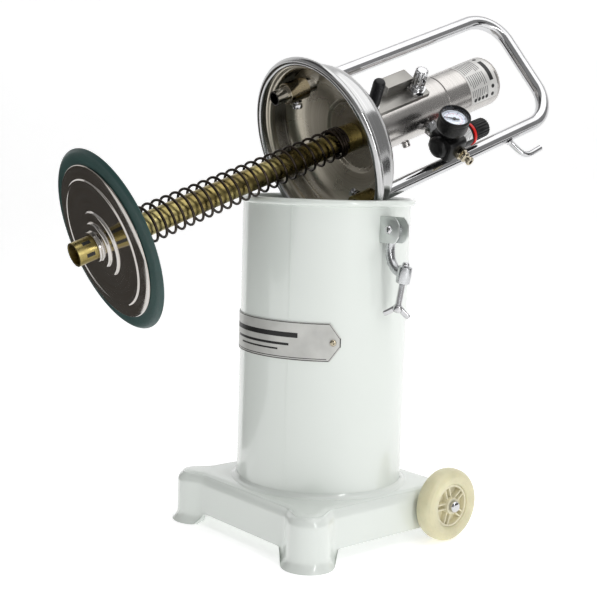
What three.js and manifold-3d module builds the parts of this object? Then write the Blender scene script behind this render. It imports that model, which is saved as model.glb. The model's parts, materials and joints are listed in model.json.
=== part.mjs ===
// Air-operated drum grease pump: a wheeled drum with swing clamps.
// Its pump head is laid across the open mouth.
// Units are millimetres. +Z is up, the floor is z = 0, the two feet are at -Y and the wheels at +Y.
import * as THREE from "three";
import { mergeVertices } from "three/addons/utils/BufferGeometryUtils.js";
import Module from "manifold-3d";

const wasm = await Module();
wasm.setup();

// Driving dimensions of the drum and its base.
const DRUM_R = 106;
const ROUND = 36;
const DRUM_WALL = 1.4;
const DRUM_FOOT_Z = 66.3;
const DRUM_TOP_Z = 427;
const RIM_BEAD = 4.2;
const DECK_Z = 66;
const PANEL_FOOT_Z = 16;
const BASE_HALF = 124;
const BASE_MID_Y = -2;
const SHEET = 2;
const POST_R = 27;
const POST_AT = 111;
const FLARE_R = 33.5;

// Wheels and axle.
const WHEEL_R = 46;
const WHEEL_X = 140;
const WHEEL_Y = 93;
const AXLE_R = 6;

// Swing clamps: pivot, boss and screw lie in the plane y = 0.
const PIVOT = [122, 393];
const BOSS = [140.5, 341];
const SCREW_LEAN = Math.atan2(0.2, 0.98);

// Pump head: where its lid ring stands, and how far it leans from upright.
const HEAD_AT = [0, -19, 483];
const HEAD_LEAN = -69.5;
const HEAD_YAW = -5;

// Pump head, measured along its own axis from the lid ring towards the motor.
const LID_R = 120;
const LID_BEAD = 5.5;
const TUBE_R = 14;
const TUBE_BORE = 11.6;
const TUBE_TIP = -348;
const LID_BOSS_S = 60;
const LEG_R = 9.5;
const LEG_AT = 84;
const LEG_END = -14;
const HANDLE_TOP = 374;
const HANDLE_BEND = 46;
const HANDLE_TURN = 60;
const MOTOR_R = 34;
const MOTOR_SEAM = 200;
const MOTOR_END = 300;
const FITTING_TURN = -50;
const PORT_FLAT = 37;
const OUTLET_S = 80;
const VENT_S = 156;
const VENT_HEX_R = 13;
const REG_TURN = 38;
const REG_AT = 70.5;
const REG_S = 163;
const FOLLOWER_S = -311;
const SPRING_TURNS = 24;

const DEG = Math.PI / 180;
const MATERIALS = {
  paint: new THREE.MeshStandardMaterial({ color: 0xe8eee8, roughness: 0.3 }),
  steel: new THREE.MeshStandardMaterial({ color: 0xb8b8b4, metalness: 1, roughness: 0.35 }),
  chrome: new THREE.MeshStandardMaterial({ color: 0xd8d8dc, metalness: 1, roughness: 0.1 }),
  brass: new THREE.MeshStandardMaterial({ color: 0x9a8640, metalness: 1, roughness: 0.3 }),
  dark: new THREE.MeshStandardMaterial({ color: 0x2a2624, metalness: 0.8, roughness: 0.45 }),
  black: new THREE.MeshStandardMaterial({ color: 0x151515, roughness: 0.5 }),
  red: new THREE.MeshStandardMaterial({ color: 0xd81810, roughness: 0.4 }),
  seal: new THREE.MeshStandardMaterial({ color: 0x1e403c, roughness: 0.5 }),
  cream: new THREE.MeshStandardMaterial({ color: 0xe7e1b4, roughness: 0.4 }),
  label: new THREE.MeshStandardMaterial({ color: 0xc8c8c0, roughness: 0.4 }),
  white: new THREE.MeshStandardMaterial({ color: 0xf0f0f4, roughness: 0.5 }),
  glass: new THREE.MeshStandardMaterial({ color: 0xffffff, transparent: true, opacity: 0.3 }),
};

// A geometry as a manifold-3d solid, and back.
function solidOf(geometry) {
  const bare = geometry.clone();
  bare.deleteAttribute("normal");
  bare.deleteAttribute("uv");
  const merged = mergeVertices(bare, 1e-4);
  const index = merged.index.array;
  const triangles = [];
  for (let i = 0; i < index.length; i += 3) {
    const [a, b, c] = [index[i], index[i + 1], index[i + 2]];
    if (a !== b && b !== c && c !== a) triangles.push(a, b, c);
  }
  const mesh = new wasm.Mesh({
    numProp: 3,
    vertProperties: new Float32Array(merged.attributes.position.array),
    triVerts: new Uint32Array(triangles),
  });
  return new wasm.Manifold(mesh);
}

function geometryOf(solid) {
  const mesh = solid.getMesh();
  const stride = mesh.numProp;
  const positions = new Float32Array(mesh.numVert * 3);
  for (let i = 0; i < mesh.numVert; i++) {
    positions.set(mesh.vertProperties.subarray(i * stride, i * stride + 3), i * 3);
  }
  const geometry = new THREE.BufferGeometry();
  geometry.setAttribute("position", new THREE.BufferAttribute(positions, 3));
  geometry.setIndex(new THREE.BufferAttribute(mesh.triVerts, 1));
  geometry.computeVertexNormals();
  return geometry;
}

function join(...geometries) {
  return geometryOf(geometries.map(solidOf).reduce((a, b) => a.add(b)));
}

function cut(geometry, ...tools) {
  return geometryOf(tools.map(solidOf).reduce((a, b) => a.subtract(b), solidOf(geometry)));
}

// A profile of [radius, height] pairs turned about Z. It starts and ends on the axis, or closes on itself.
function turned(profile, segments = 16) {
  let area = 0;
  profile.forEach(([r, z], i) => {
    const [r2, z2] = profile[(i + 1) % profile.length];
    area += r * z2 - r2 * z;
  });
  const points = area > 0 ? [...profile] : [...profile].reverse();
  const open = points[0][0] > 0 || points[points.length - 1][0] > 0;
  if (open) points.push(points[0]);
  const lathe = new THREE.LatheGeometry(points.map(([r, z]) => new THREE.Vector2(r, z)), segments);
  return lathe.rotateX(Math.PI / 2);
}

// Points on an arc of a profile, from one angle to another in degrees.
function arc(r, z, radius, from, to, steps) {
  const points = [];
  for (let i = 0; i <= steps; i++) {
    const a = (from + ((to - from) * i) / steps) * DEG;
    points.push([r + radius * Math.cos(a), z + radius * Math.sin(a)]);
  }
  return points;
}

function rod(radius, low, high, segments = 12) {
  return turned([[0, low], [radius, low], [radius, high], [0, high]], segments);
}

function ring(inner, outer, low, high, segments = 16) {
  return turned([[inner, low], [outer, low], [outer, high], [inner, high]], segments);
}

function box(x0, x1, y0, y1, z0, z1) {
  const geometry = new THREE.BoxGeometry(x1 - x0, y1 - y0, z1 - z0);
  return geometry.translate((x0 + x1) / 2, (y0 + y1) / 2, (z0 + z1) / 2);
}

// A closed skin over a row of rings with equal point counts, flat at both ends, its faces turned outwards.
function loft(rings) {
  const count = rings[0].length;
  const positions = rings.flat().flat();
  const centre = (points) =>
    [0, 1, 2].map((k) => points.reduce((sum, point) => sum + point[k], 0) / count);
  positions.push(...centre(rings[0]), ...centre(rings[rings.length - 1]));
  const index = [];
  for (let i = 0; i + 1 < rings.length; i++) {
    for (let j = 0; j < count; j++) {
      const a = i * count + j;
      const b = i * count + ((j + 1) % count);
      index.push(a, b, b + count, a, b + count, a + count);
    }
  }
  const first = rings.length * count;
  const last = (rings.length - 1) * count;
  for (let j = 0; j < count; j++) {
    const k = (j + 1) % count;
    index.push(first, k, j, first + 1, last + j, last + k);
  }
  const corner = (i) => new THREE.Vector3().fromArray(positions, index[i] * 3);
  let volume = 0;
  for (let i = 0; i < index.length; i += 3) {
    volume += corner(i).dot(corner(i + 1).cross(corner(i + 2)));
  }
  const geometry = new THREE.BufferGeometry();
  geometry.setAttribute("position", new THREE.BufferAttribute(new Float32Array(positions), 3));
  geometry.setIndex(volume < 0 ? index.reverse() : index);
  return geometry;
}

// A rounded rectangle of points at one height.
function roundedRing(halfX, halfY, radius, midY, z, steps = 3) {
  const points = [];
  for (let corner = 0; corner < 4; corner++) {
    const cx = (corner === 0 || corner === 3 ? 1 : -1) * (halfX - radius);
    const cy = (corner < 2 ? 1 : -1) * (halfY - radius) + midY;
    for (let i = 0; i <= steps; i++) {
      const a = (corner * 90 + (90 * i) / steps) * DEG;
      points.push([cx + radius * Math.cos(a), cy + radius * Math.sin(a), z]);
    }
  }
  return points;
}

// A path through given points, so that a sweep along it has its sections on those points.
class PointPath extends THREE.Curve {
  constructor(points) {
    super();
    this.points = points.map((p) => new THREE.Vector3(...p));
  }

  getPoint(t, target = new THREE.Vector3()) {
    const place = Math.min(Math.max(t, 0), 1) * (this.points.length - 1);
    const i = Math.min(Math.floor(place), this.points.length - 2);
    return target.lerpVectors(this.points[i], this.points[i + 1], place - i);
  }

  getPointAt(t, target) {
    return this.getPoint(t, target);
  }

  getTangentAt(t, target) {
    return this.getTangent(t, target);
  }
}

function swept(shape, points) {
  return new THREE.ExtrudeGeometry(shape, {
    steps: points.length - 1,
    extrudePath: new PointPath(points),
    curveSegments: 4,
  });
}

function roundShape(radius, sides, bore = 0) {
  const outline = (r) =>
    Array.from({ length: sides }, (_, i) => {
      const a = (i / sides) * 2 * Math.PI;
      return new THREE.Vector2(r * Math.cos(a), r * Math.sin(a));
    });
  const shape = new THREE.Shape(outline(radius));
  if (bore > 0) shape.holes.push(new THREE.Path(outline(bore).reverse()));
  return shape;
}

// A bar with ribs along its length: teeth on the outside, narrower at the top by the draft.
function fluted(radius, depth, teeth, low, high, draft) {
  const section = (r, z) =>
    Array.from({ length: teeth * 2 }, (_, i) => {
      const a = (i / (teeth * 2)) * 2 * Math.PI;
      const reach = i % 2 ? r - depth : r;
      return [reach * Math.cos(a), reach * Math.sin(a), z];
    });
  return loft([
    section(radius, low),
    section(radius - draft, high - 1.2),
    section(radius - draft - 1.2, high),
  ]);
}

function add(group, name, geometry, material) {
  const mesh = new THREE.Mesh(geometry, MATERIALS[material]);
  mesh.name = name;
  group.add(mesh);
  return mesh;
}

// A group whose own z axis points out along a radius of its parent's z axis.
function radialGroup(parent, turn, height) {
  const spoke = new THREE.Group();
  spoke.rotation.set(0, 90 * DEG, 0);
  const turnGroup = new THREE.Group();
  turnGroup.rotation.z = turn * DEG;
  turnGroup.position.z = height;
  turnGroup.add(spoke);
  parent.add(turnGroup);
  return spoke;
}

function drumShell() {
  const inner = DRUM_R - DRUM_WALL;
  const beadR = DRUM_R + 1.8;
  const beadZ = DRUM_TOP_Z - RIM_BEAD;
  return turned(
    [
      [0, DRUM_FOOT_Z],
      [DRUM_R - 1.5, DRUM_FOOT_Z],
      [DRUM_R, DRUM_FOOT_Z + 1.5],
      [DRUM_R, beadZ - 3.8],
      ...arc(beadR, beadZ, RIM_BEAD, -70, 170, 4),
      [inner, beadZ - 3],
      [inner, DRUM_FOOT_Z + 2],
      [0, DRUM_FOOT_Z + 2],
    ],
    ROUND,
  );
}

// One front corner post with its flared foot, as a solid grown or shrunk by an offset.
function post(side, offset, low) {
  const turnedPost = turned(
    [
      [0, low],
      [FLARE_R + offset, low],
      [POST_R + 2 + offset, 6],
      [POST_R + offset, 12],
      [POST_R + offset, 52 + offset],
      [POST_R - 7 + offset, 61 + offset],
      [0, 63.5 + offset],
    ],
    16,
  );
  return turnedPost.translate(side * POST_AT, -POST_AT, 0);
}

function baseBody(offset, low) {
  const levels = [
    [low, 0],
    [53 + offset, 0],
    [60.5 + offset, 2.6],
    [64.8 + offset, 7.6],
    [DECK_Z + offset, 14],
  ];
  const half = BASE_HALF + offset;
  return loft(levels.map(([z, inset]) =>
    roundedRing(half - inset, half - inset, 22 - inset * 0.4 + offset, BASE_MID_Y, z)));
}

// Pressed base: deck, four skirts, two bulging front posts with flared feet, open underneath.
function baseShell() {
  const collar = turned(
    [
      [DRUM_R + 0.4, DECK_Z - 1],
      [DRUM_R + 5, DECK_Z - 1],
      [DRUM_R + 5, DECK_Z + 0.6],
      [DRUM_R + 2, DECK_Z + 2.2],
      [DRUM_R + 0.4, DECK_Z + 5],
    ],
    ROUND,
  );
  const outside = join(baseBody(0, PANEL_FOOT_Z), post(-1, 0, 0), post(1, 0, 0), collar);
  const reach = POST_AT - 9;
  const axleHole = rod(AXLE_R + 0.4, -200, 200).rotateY(Math.PI / 2);
  return cut(
    outside,
    baseBody(-SHEET, -1),
    post(-1, -SHEET, -1),
    post(1, -SHEET, -1),
    box(-reach, reach, -200, 200, -1, PANEL_FOOT_Z),
    box(-200, 200, -reach, 200, -1, PANEL_FOOT_Z),
    axleHole.translate(0, WHEEL_Y, WHEEL_R),
  );
}

// A sheet bent round a Z axis between two angles, its half height given at each angle.
function bentSheet(radius, thickness, from, to, steps, midZ, halfHeight) {
  const rings = [];
  for (let i = 0; i <= steps; i++) {
    const degrees = from + ((to - from) * i) / steps;
    const half = halfHeight(degrees);
    const [c, s] = [Math.cos(degrees * DEG), Math.sin(degrees * DEG)];
    const corners = [
      [radius, -half],
      [radius, half],
      [radius + thickness, half],
      [radius + thickness, -half],
    ];
    rings.push(corners.map(([r, h]) => [r * c, r * s, midZ + h]));
  }
  return loft(rings);
}

function namePlate() {
  const half = (degrees) => Math.min(23.2, 6 + (60 - Math.abs(degrees + 90)) * 2.5);
  return bentSheet(DRUM_R + 0.4, 0.8, -150, -30, 24, 257, half);
}

function plateRivet(degrees) {
  const head = turned([[0, 0], [4, 0], [4, 0.8], [2.6, 2], [0, 2.2]], 12);
  head.rotateY(Math.PI / 2).translate(DRUM_R + 1.6, 0, 257);
  return head.rotateZ(degrees * DEG);
}

function wheelTyre() {
  const half = [[27.3, 10.4], [38, 12.8], [43.4, 10], [WHEEL_R, 4]];
  const mirrored = half.map(([r, z]) => [r, -z]);
  return turned([...mirrored, ...half.reverse()], 24);
}

// Hub: rim, core and thin web, with five pairs of ribs standing on both faces of the web.
function wheelHub() {
  const rim = ring(24.4, 27, -9, 9, 20);
  const core = rod(10.5, -12, 12, 10);
  const web = rod(25, -1.4, 1.4, 20);
  const ribs = [];
  for (let i = 0; i < 5; i++) {
    for (const side of [-1, 1]) {
      const rib = box(8, 25.4, side * 3.4 - 1, side * 3.4 + 1, -8, 8);
      ribs.push(rib.rotateZ((i * 72 + 18) * DEG));
    }
  }
  return cut(join(rim, core, web, ...ribs), rod(AXLE_R + 0.35, -20, 20));
}

function axleCap() {
  return turned([[0, 0], [7.6, 0], [7.6, 3.6], [5.6, 6.2], [0, 6.6]], 14);
}

// Clevis bracket on the drum's +X side: a foot plate and two chamfered ears.
function clampBracket() {
  const outline = new THREE.Shape([
    new THREE.Vector2(DRUM_R - 6, 377),
    new THREE.Vector2(131, 377),
    new THREE.Vector2(137, 384),
    new THREE.Vector2(137, 401),
    new THREE.Vector2(131, 408),
    new THREE.Vector2(DRUM_R - 6, 408),
  ]);
  const ears = [-1, 1].map((side) => {
    const ear = new THREE.ExtrudeGeometry(outline, { depth: 2.4, bevelEnabled: false });
    return ear.rotateX(Math.PI / 2).translate(0, side * 7.6 + 1.2, 0);
  });
  const foot = box(DRUM_R - 6, DRUM_R + 2.6, -8.8, 8.8, 377, 408);
  const hole = rod(3.8, -20, 20, 14).rotateX(Math.PI / 2).translate(PIVOT[0], 0, PIVOT[1]);
  return cut(join(...ears, foot), rod(DRUM_R + 0.4, 300, 420, ROUND), hole);
}

function clampPin() {
  const head = [[0, 12], [5, 12], [5, 9.2], [3.4, 9.2]];
  const mirrored = head.map(([r, z]) => [r, -z]);
  const pin = turned([...mirrored, ...head.reverse()], 14);
  return pin.rotateX(Math.PI / 2).translate(PIVOT[0], 0, PIVOT[1]);
}

// Cast arm: an eye on the pin, a neck that hangs by the drum and curves out, and a bored boss.
function clampArm() {
  const line = [[122, 393], [117.5, 383], [115.6, 373], [116.4, 363], [120.5, 353], [128, 345.5], [137, 341.5]];
  const widths = [7, 5.6, 4.8, 4.8, 5, 5, 5];
  const rings = line.map(([x, z], i) => {
    const [x0, z0] = line[Math.max(i - 1, 0)];
    const [x1, z1] = line[Math.min(i + 1, line.length - 1)];
    const length = Math.hypot(x1 - x0, z1 - z0);
    const [nx, nz] = [(z1 - z0) / length, -(x1 - x0) / length];
    const w = widths[i];
    const section = [[w, -3.4], [0, -5.6], [-w, -3.4]];
    const mirrored = section.map(([a, b]) => [a, -b]).reverse();
    return [...section, ...mirrored].map(([a, y]) => [x + a * nx, y, z + a * nz]);
  });
  const eye = rod(7.6, -6, 6);
  eye.rotateX(Math.PI / 2).translate(PIVOT[0], 0, PIVOT[1]);
  const boss = rod(8.6, -10, 10, 14);
  const screwHole = rod(4.3, -20, 20, 12).rotateZ(0.2);
  for (const part of [boss, screwHole]) {
    part.rotateY(SCREW_LEAN).translate(BOSS[0], 0, BOSS[1]);
  }
  const pinHole = rod(3.8, -20, 20, 12).rotateX(Math.PI / 2).translate(PIVOT[0], 0, PIVOT[1]);
  return cut(join(loft(rings), eye, boss), screwHole, pinHole);
}

// Thumbscrew about its own z axis, its wing at the low end.
function clampScrew() {
  const shaft = rod(3.9, -40, 10.4, 12);
  const hub = turned([[0, -46], [6, -46], [5.4, -38], [0, -38]], 12);
  const wings = [-1, 1].map((side) => {
    const wing = box(0, 13.5, -1.6, 1.6, -4.2, 4.2);
    wing.translate(2.5, 0, 0).rotateY(42 * DEG).translate(1.5, 0, -42);
    return side > 0 ? wing : wing.rotateZ(Math.PI);
  });
  return join(shaft, hub, ...wings).rotateZ(45 * DEG);
}

function clampPad() {
  return turned([[0, 10.8], [4.4, 10.8], [4.4, 13.6], [3, 15.4], [0, 15.4]], 12);
}

// One swing clamp on the +X side. The whole group is turned half round for the other side.
function clamp(group, name) {
  add(group, "clamp_bracket_" + name, clampBracket(), "steel");
  add(group, "clamp_pin_" + name, clampPin(), "chrome");
  add(group, "clamp_arm_" + name, clampArm(), "chrome");
  const leaning = new THREE.Group();
  leaning.position.set(BOSS[0], 0, BOSS[1]);
  leaning.rotation.y = SCREW_LEAN;
  group.add(leaning);
  add(leaning, "clamp_screw_" + name, clampScrew(), "chrome");
  add(leaning, "clamp_pad_" + name, clampPad(), "chrome");
}

// Spun lid: boss, dome, shoulder, wall and flange, with a rolled ring round the edge.
function lid() {
  const inside = [
    [TUBE_R + 0.4, LID_BOSS_S],
    [43.6, LID_BOSS_S],
    [47, 57],
    [60, 53.2],
    [77, 47.6],
    [94, 40],
    [101.6, 30],
    [101.6, 11],
    [105, 5.8],
    [109.2, 4],
  ];
  const thickness = 1.6;
  const outside = inside.slice(0, 8).map(([r, s], i) => [r + (i > 5 ? thickness : 0.5), s + thickness]);
  outside[0] = [TUBE_R + 0.4, LID_BOSS_S + thickness];
  const edge = arc(LID_R - LID_BEAD, 0, LID_BEAD, -170, 100, 5);
  const profile = [...inside, ...edge, [107, 8], ...outside.reverse()];
  const holes = [0, 180].map((turn) =>
    rod(LEG_R + 0.4, 20, 70).translate(LEG_AT, 0, 0).rotateZ((HANDLE_TURN + turn) * DEG));
  return cut(turned(profile, 32), ...holes);
}

// U-shaped handle tube in the head's handle plane, both leg ends open.
function handleTube() {
  const line = [[LEG_AT, LEG_END], [LEG_AT, 157]];
  const bend = arc(LEG_AT - HANDLE_BEND, HANDLE_TOP - HANDLE_BEND, HANDLE_BEND, 0, 90, 5);
  const half = [...line, ...bend];
  const points = [...half, ...half.map(([x, z]) => [-x, z]).reverse()].map(([x, z]) => [x, 0, z]);
  return swept(roundShape(LEG_R, 10, LEG_R - 1.8), points).rotateZ(HANDLE_TURN * DEG);
}

function legSleeve(turn, boltTurn) {
  const sleeve = ring(LEG_R + 0.35, 13.8, 4, 34, 18);
  const hole = rod(3.4, 0, 30, 14).rotateY(Math.PI / 2).rotateZ((boltTurn - turn) * DEG);
  return cut(sleeve, hole.translate(0, 0, 20)).translate(LEG_AT, 0, 0).rotateZ(turn * DEG);
}

// Hex-headed clamp bolt through the side of a leg sleeve.
function sleeveBolt(turn, boltTurn) {
  const shank = rod(3, LEG_R + 0.4, 18, 14);
  const head = turned([[0, 18], [6.4, 18], [6.4, 22.6], [5.6, 23.4], [0, 23.4]], 6);
  const bolt = join(shank, head.translate(0, 0, -0.1));
  bolt.rotateY(Math.PI / 2).rotateZ((boltTurn - turn) * DEG);
  return bolt.translate(LEG_AT, 0, 20).rotateZ(turn * DEG);
}

function hoseHook() {
  const rise = [[94.6, 276.4], [104, 279.6], [113, 283.4], [118.4, 287.6]];
  const tip = [[120.6, 293], [120.2, 304], [119.6, 317]];
  const points = [...rise, ...tip].map(([x, z]) => [x, 0, z]);
  return swept(roundShape(3, 8), points).rotateZ(HANDLE_TURN * DEG);
}

// Pump tube with a ring of intake slots near its open tip.
function pumpTube() {
  const tube = ring(TUBE_BORE, TUBE_R, TUBE_TIP, 61.8, 20);
  const slots = [];
  for (let i = 0; i < 6; i++) {
    slots.push(box(8, 20, -2.2, 2.2, TUBE_TIP + 9, TUBE_TIP + 19).rotateZ((i * 60 + 15) * DEG));
  }
  return cut(tube, ...slots);
}

function tubeCollar() {
  return turned([[TUBE_R + 0.35, 39], [17, 39], [18, 40], [18, 59.6], [TUBE_R + 0.35, 59.6]]);
}

function footValveSeat() {
  return turned([[5, -327], [11.2, -327], [11.2, -321], [7, -321]], 20);
}

function followerPlate() {
  const s = FOLLOWER_S;
  return turned(
    [
      [TUBE_R + 0.5, s],
      [TUBE_R + 0.5, s - 11.5],
      [17.4, s - 11.5],
      [17.6, s - 8.5],
      [25, s - 8.2],
      [26, s - 5.2],
      [36, s - 4.8],
      [38, s - 2.2],
      [72, s - 2],
      [75, s - 4.6],
      [78, s - 1.6],
      [90.6, s + 1.2],
      [91, s + 3],
      [77, s],
    ],
    30,
  );
}

function followerSeal() {
  const s = FOLLOWER_S;
  return turned(
    [
      [TUBE_R + 0.6, s + 0.4],
      [75, s + 0.4],
      [91, s + 3.4],
      [100, s + 4.2],
      [107.8, s + 8],
      [106, s + 9.6],
      [88, s + 7.2],
      [74, s + 4.4],
      [TUBE_R + 0.6, s + 4.4],
    ],
    30,
  );
}

function followerBackPlate() {
  const s = FOLLOWER_S;
  return turned([[TUBE_R + 0.5, s + 4.8], [44, s + 4.8], [42, s + 7], [TUBE_R + 0.5, s + 7.4]], 24);
}

// Compression spring: close end coils at the lid, even coils down to the follower.
function followerSpring() {
  const low = FOLLOWER_S + 9.6;
  const high = 37;
  const steps = SPRING_TURNS * 8;
  const points = [];
  for (let i = 0; i <= steps; i++) {
    const t = i / steps;
    const a = t * SPRING_TURNS * 2 * Math.PI;
    const eased = t < 0.93 ? (t / 0.93) * 0.968 : 0.968 + ((t - 0.93) / 0.07) * 0.032;
    points.push([17.7 * Math.cos(a), 17.7 * Math.sin(a), low + (high - low) * eased]);
  }
  const path = new PointPath(points);
  const shape = roundShape(1.5, 4);
  return new THREE.ExtrudeGeometry(shape, { steps, extrudePath: path, curveSegments: 2 });
}

// Lower casing: base plate with the rod bore, thick wall, open at the seam.
function motorCasing() {
  return turned(
    [
      [5.6, 62.2],
      [MOTOR_R - 1, 62.2],
      [MOTOR_R, 63.2],
      [MOTOR_R, MOTOR_SEAM - 0.2],
      [30.9, MOTOR_SEAM - 0.2],
      [30.9, 72],
      [5.6, 72],
    ],
    28,
  );
}

function motorCylinder() {
  return turned(
    [
      [30.9, MOTOR_SEAM + 0.2],
      [MOTOR_R - 0.5, MOTOR_SEAM + 0.2],
      ...arc(MOTOR_R - 9.5, MOTOR_END - 9, 9, 0, 90, 3),
      [0, MOTOR_END],
      [0, MOTOR_END - 4],
      [27.5, MOTOR_END - 4],
      [30.9, MOTOR_END - 9],
    ],
    28,
  );
}

// Flat pad for the two side fittings and the raised valve box beside it, saddled on the casing.
function valveBlock() {
  const pad = loft([
    roundedRing(11, 53, 3, 119, 20, 1),
    roundedRing(11, 53, 3, 119, PORT_FLAT - 0.8, 1),
    roundedRing(10.2, 52.2, 2.4, 119, PORT_FLAT, 1),
  ]);
  const chest = loft([
    roundedRing(9.75, 22.25, 1.5, 133.25, 10, 1),
    roundedRing(9.75, 22.25, 1.5, 133.25, 50.8, 1),
    roundedRing(8.55, 21.05, 1, 133.25, 52, 1),
  ]);
  const joined = join(pad.translate(1, 0, 0), chest.translate(-18.25, 0, 0));
  const ventRelief = rod(VENT_HEX_R + 0.4, PORT_FLAT, 60, 20).translate(0, VENT_S, 0);
  const block = cut(joined, ventRelief);
  block.rotateX(Math.PI / 2).rotateZ((90 + FITTING_TURN) * DEG);
  return cut(block, rod(MOTOR_R + 0.35, 0, 300, 28));
}

function outletFitting() {
  const hex = turned([[0, PORT_FLAT + 0.35], [9.6, PORT_FLAT + 0.35], [9.6, 46], [8.6, 47], [0, 47]], 6);
  const spigot = turned([[0, 46], [5.6, 46], [5.6, 60], [4.8, 61], [0, 61]], 14);
  return cut(join(hex, spigot), rod(3, 40, 70, 10));
}

function outletCap() {
  const profile = [[5.95, 48], [8, 48], [8, 80], [6.6, 82.8], [0, 83.4], [0, 79.4], [5.95, 78]];
  return turned(profile, 16);
}

function ventBody() {
  const low = PORT_FLAT + 0.35;
  const hex = turned([[0, low], [VENT_HEX_R, low], [VENT_HEX_R, 45.4], [VENT_HEX_R - 1.2, 46.6], [0, 46.6]], 6);
  return join(hex, rod(6, 46, 48.4));
}

function ventKnob() {
  return fluted(8.6, 1, 10, 48.8, 72, 0.5);
}

function drainPlug() {
  return turned([[0, MOTOR_R + 0.4], [5.4, MOTOR_R + 0.4], [5.4, 40], [4.4, 41.6], [0, 41.6]], 16);
}

// Air piston, its ring, the long rod and the plunger at the rod's low end.
function airPiston() {
  return turned(
    [
      [0, 205.4],
      [30.2, 205.4],
      [30.2, 209],
      [27.6, 209],
      [27.6, 213.6],
      [30.2, 213.6],
      [30.2, 217],
      [0, 217],
    ],
    20,
  );
}

function pistonRing() {
  return turned([[27.9, 209.4], [30.6, 209.4], [30.6, 213.2], [27.9, 213.2]], 20);
}

function pistonRod() {
  return rod(4.9, -288, 205, 14);
}

function plunger() {
  return turned([[0, -303], [9, -303], [11.2, -301], [11.2, -291], [9, -288.6], [0, -288.6]], 18);
}

function rodPacking() {
  return turned([[5.3, 48], [11.2, 48], [11.2, 58], [5.3, 58]], 18);
}

function valveBall() {
  const centre = -321 + 3.9;
  return turned(arc(0, centre, 7.4, -90, 90, 6), 12);
}

// Pressure regulator in its own frame: x along the air flow away from the motor, z along the knob.
function regulatorBody() {
  const core = loft([
    roundedRing(17, 13, 5, 0, -17, 2),
    roundedRing(19.4, 15, 5, 0, -13, 2),
    roundedRing(19.4, 15, 5, 0, 10, 2),
    roundedRing(16, 14, 5, 0, 15, 2),
  ]);
  const cap = turned([[0, -25], [9, -25], [13, -23], [14.5, -18], [14.5, -12], [0, -12]], 20);
  const bonnet = turned([[0, 10], [15, 10], [15.2, 30], [14.4, 33], [0, 33]], 20);
  const socket = rod(4.6, 29, 34);
  const boss = rod(9.5, 12, 17.4, 14).rotateX(Math.PI / 2).translate(0, 0, -4);
  return cut(join(core, cap, bonnet, boss), socket);
}

function regulatorRing() {
  return ring(4.6, 15.8, 33.4, 37.2);
}

// Spindle that carries the knob: the knob turns on it, and it slides in when the knob is pushed to lock.
function regulatorSpindle() {
  return turned([[0, 34], [4, 34], [4, 44], [6, 44.2], [6, 46], [0, 46]], 12);
}

function regulatorKnob() {
  const grip = fluted(13.4, 0.8, 16, 40.6, 65, 0.6);
  const socket = turned([[0, 38], [4.6, 38], [4.6, 43.4], [6.6, 43.6], [6.6, 46.6], [0, 46.6]], 12);
  return cut(grip, socket);
}

function inletAdapter() {
  const hex = turned([[0, 2], [10.6, 2], [11.4, 3], [11.4, 13], [10.4, 14], [0, 14]], 6);
  return join(hex, rod(6.4, 0.2, 16));
}

function inletNipple() {
  const hex = turned([[0, 0.4], [8.6, 0.4], [8.6, 6.4], [7.8, 7.2], [0, 7.2]], 6);
  const shoulder = [[0, 6], [5.2, 6], [6.8, 10.6], [6.8, 14]];
  const groove = [[4.6, 15.4], [4.6, 18], [5.9, 19.2], [5.9, 23], [0, 23]];
  const plug = turned([...shoulder, ...groove], 14);
  return cut(join(hex, plug), rod(2.8, 4, 30, 8));
}

// Gauge in its own frame: z points out of the dial, the bezel's face is at z = 0.
function gaugeCase() {
  return turned(
    [
      [0, -30],
      [6, -30],
      [6, -24],
      [17, -24],
      [20, -20],
      [20.4, -0.8],
      [19.6, 0],
      [17.8, 0],
      [17.8, -8.6],
      [0, -8.6],
    ],
    22,
  );
}

function gaugeDial() {
  return rod(17.3, -8.2, -7.4, 24);
}

function gaugeNeedle() {
  const outline = new THREE.Shape([
    new THREE.Vector2(-6.5, -1.3),
    new THREE.Vector2(0, -1.5),
    new THREE.Vector2(13.5, -0.3),
    new THREE.Vector2(13.5, 0.3),
    new THREE.Vector2(0, 1.5),
    new THREE.Vector2(-6.5, 1.3),
  ]);
  const blade = new THREE.ExtrudeGeometry(outline, { depth: 0.6, bevelEnabled: false });
  blade.translate(0, 0, -6.4);
  return join(blade, rod(2.1, -6.8, -5, 10));
}

function gaugeWindow() {
  return turned([[0, -3.6], [17.4, -3.6], [17.4, -2.6], [0, -2]], 24);
}

function addRegulator(head) {
  const turn = new THREE.Group();
  turn.rotation.z = REG_TURN * DEG;
  head.add(turn);
  const unit = new THREE.Group();
  unit.position.set(REG_AT, 0, REG_S);
  turn.add(unit);
  add(unit, "regulator_body", regulatorBody(), "black");
  add(unit, "regulator_ring", regulatorRing(), "red");
  add(unit, "regulator_spindle", regulatorSpindle(), "steel");
  add(unit, "regulator_knob", regulatorKnob(), "black");
  const adapter = new THREE.Group();
  adapter.rotation.y = Math.PI / 2;
  adapter.position.set(MOTOR_R + 0.2 - REG_AT, 0, 0);
  unit.add(adapter);
  add(adapter, "inlet_adapter", inletAdapter(), "chrome");
  const nipple = new THREE.Group();
  nipple.rotation.y = Math.PI / 2;
  nipple.position.set(19.4, 0, 0);
  unit.add(nipple);
  add(nipple, "inlet_nipple", inletNipple(), "brass");
  const gauge = new THREE.Group();
  gauge.rotation.x = Math.PI / 2;
  gauge.position.set(0, -48, -4);
  unit.add(gauge);
  add(gauge, "gauge_case", gaugeCase(), "black");
  add(gauge, "gauge_dial", gaugeDial(), "white");
  const needle = add(gauge, "gauge_needle", gaugeNeedle(), "black");
  needle.rotation.z = -135 * DEG;
  add(gauge, "gauge_window", gaugeWindow(), "glass");
}

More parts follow.
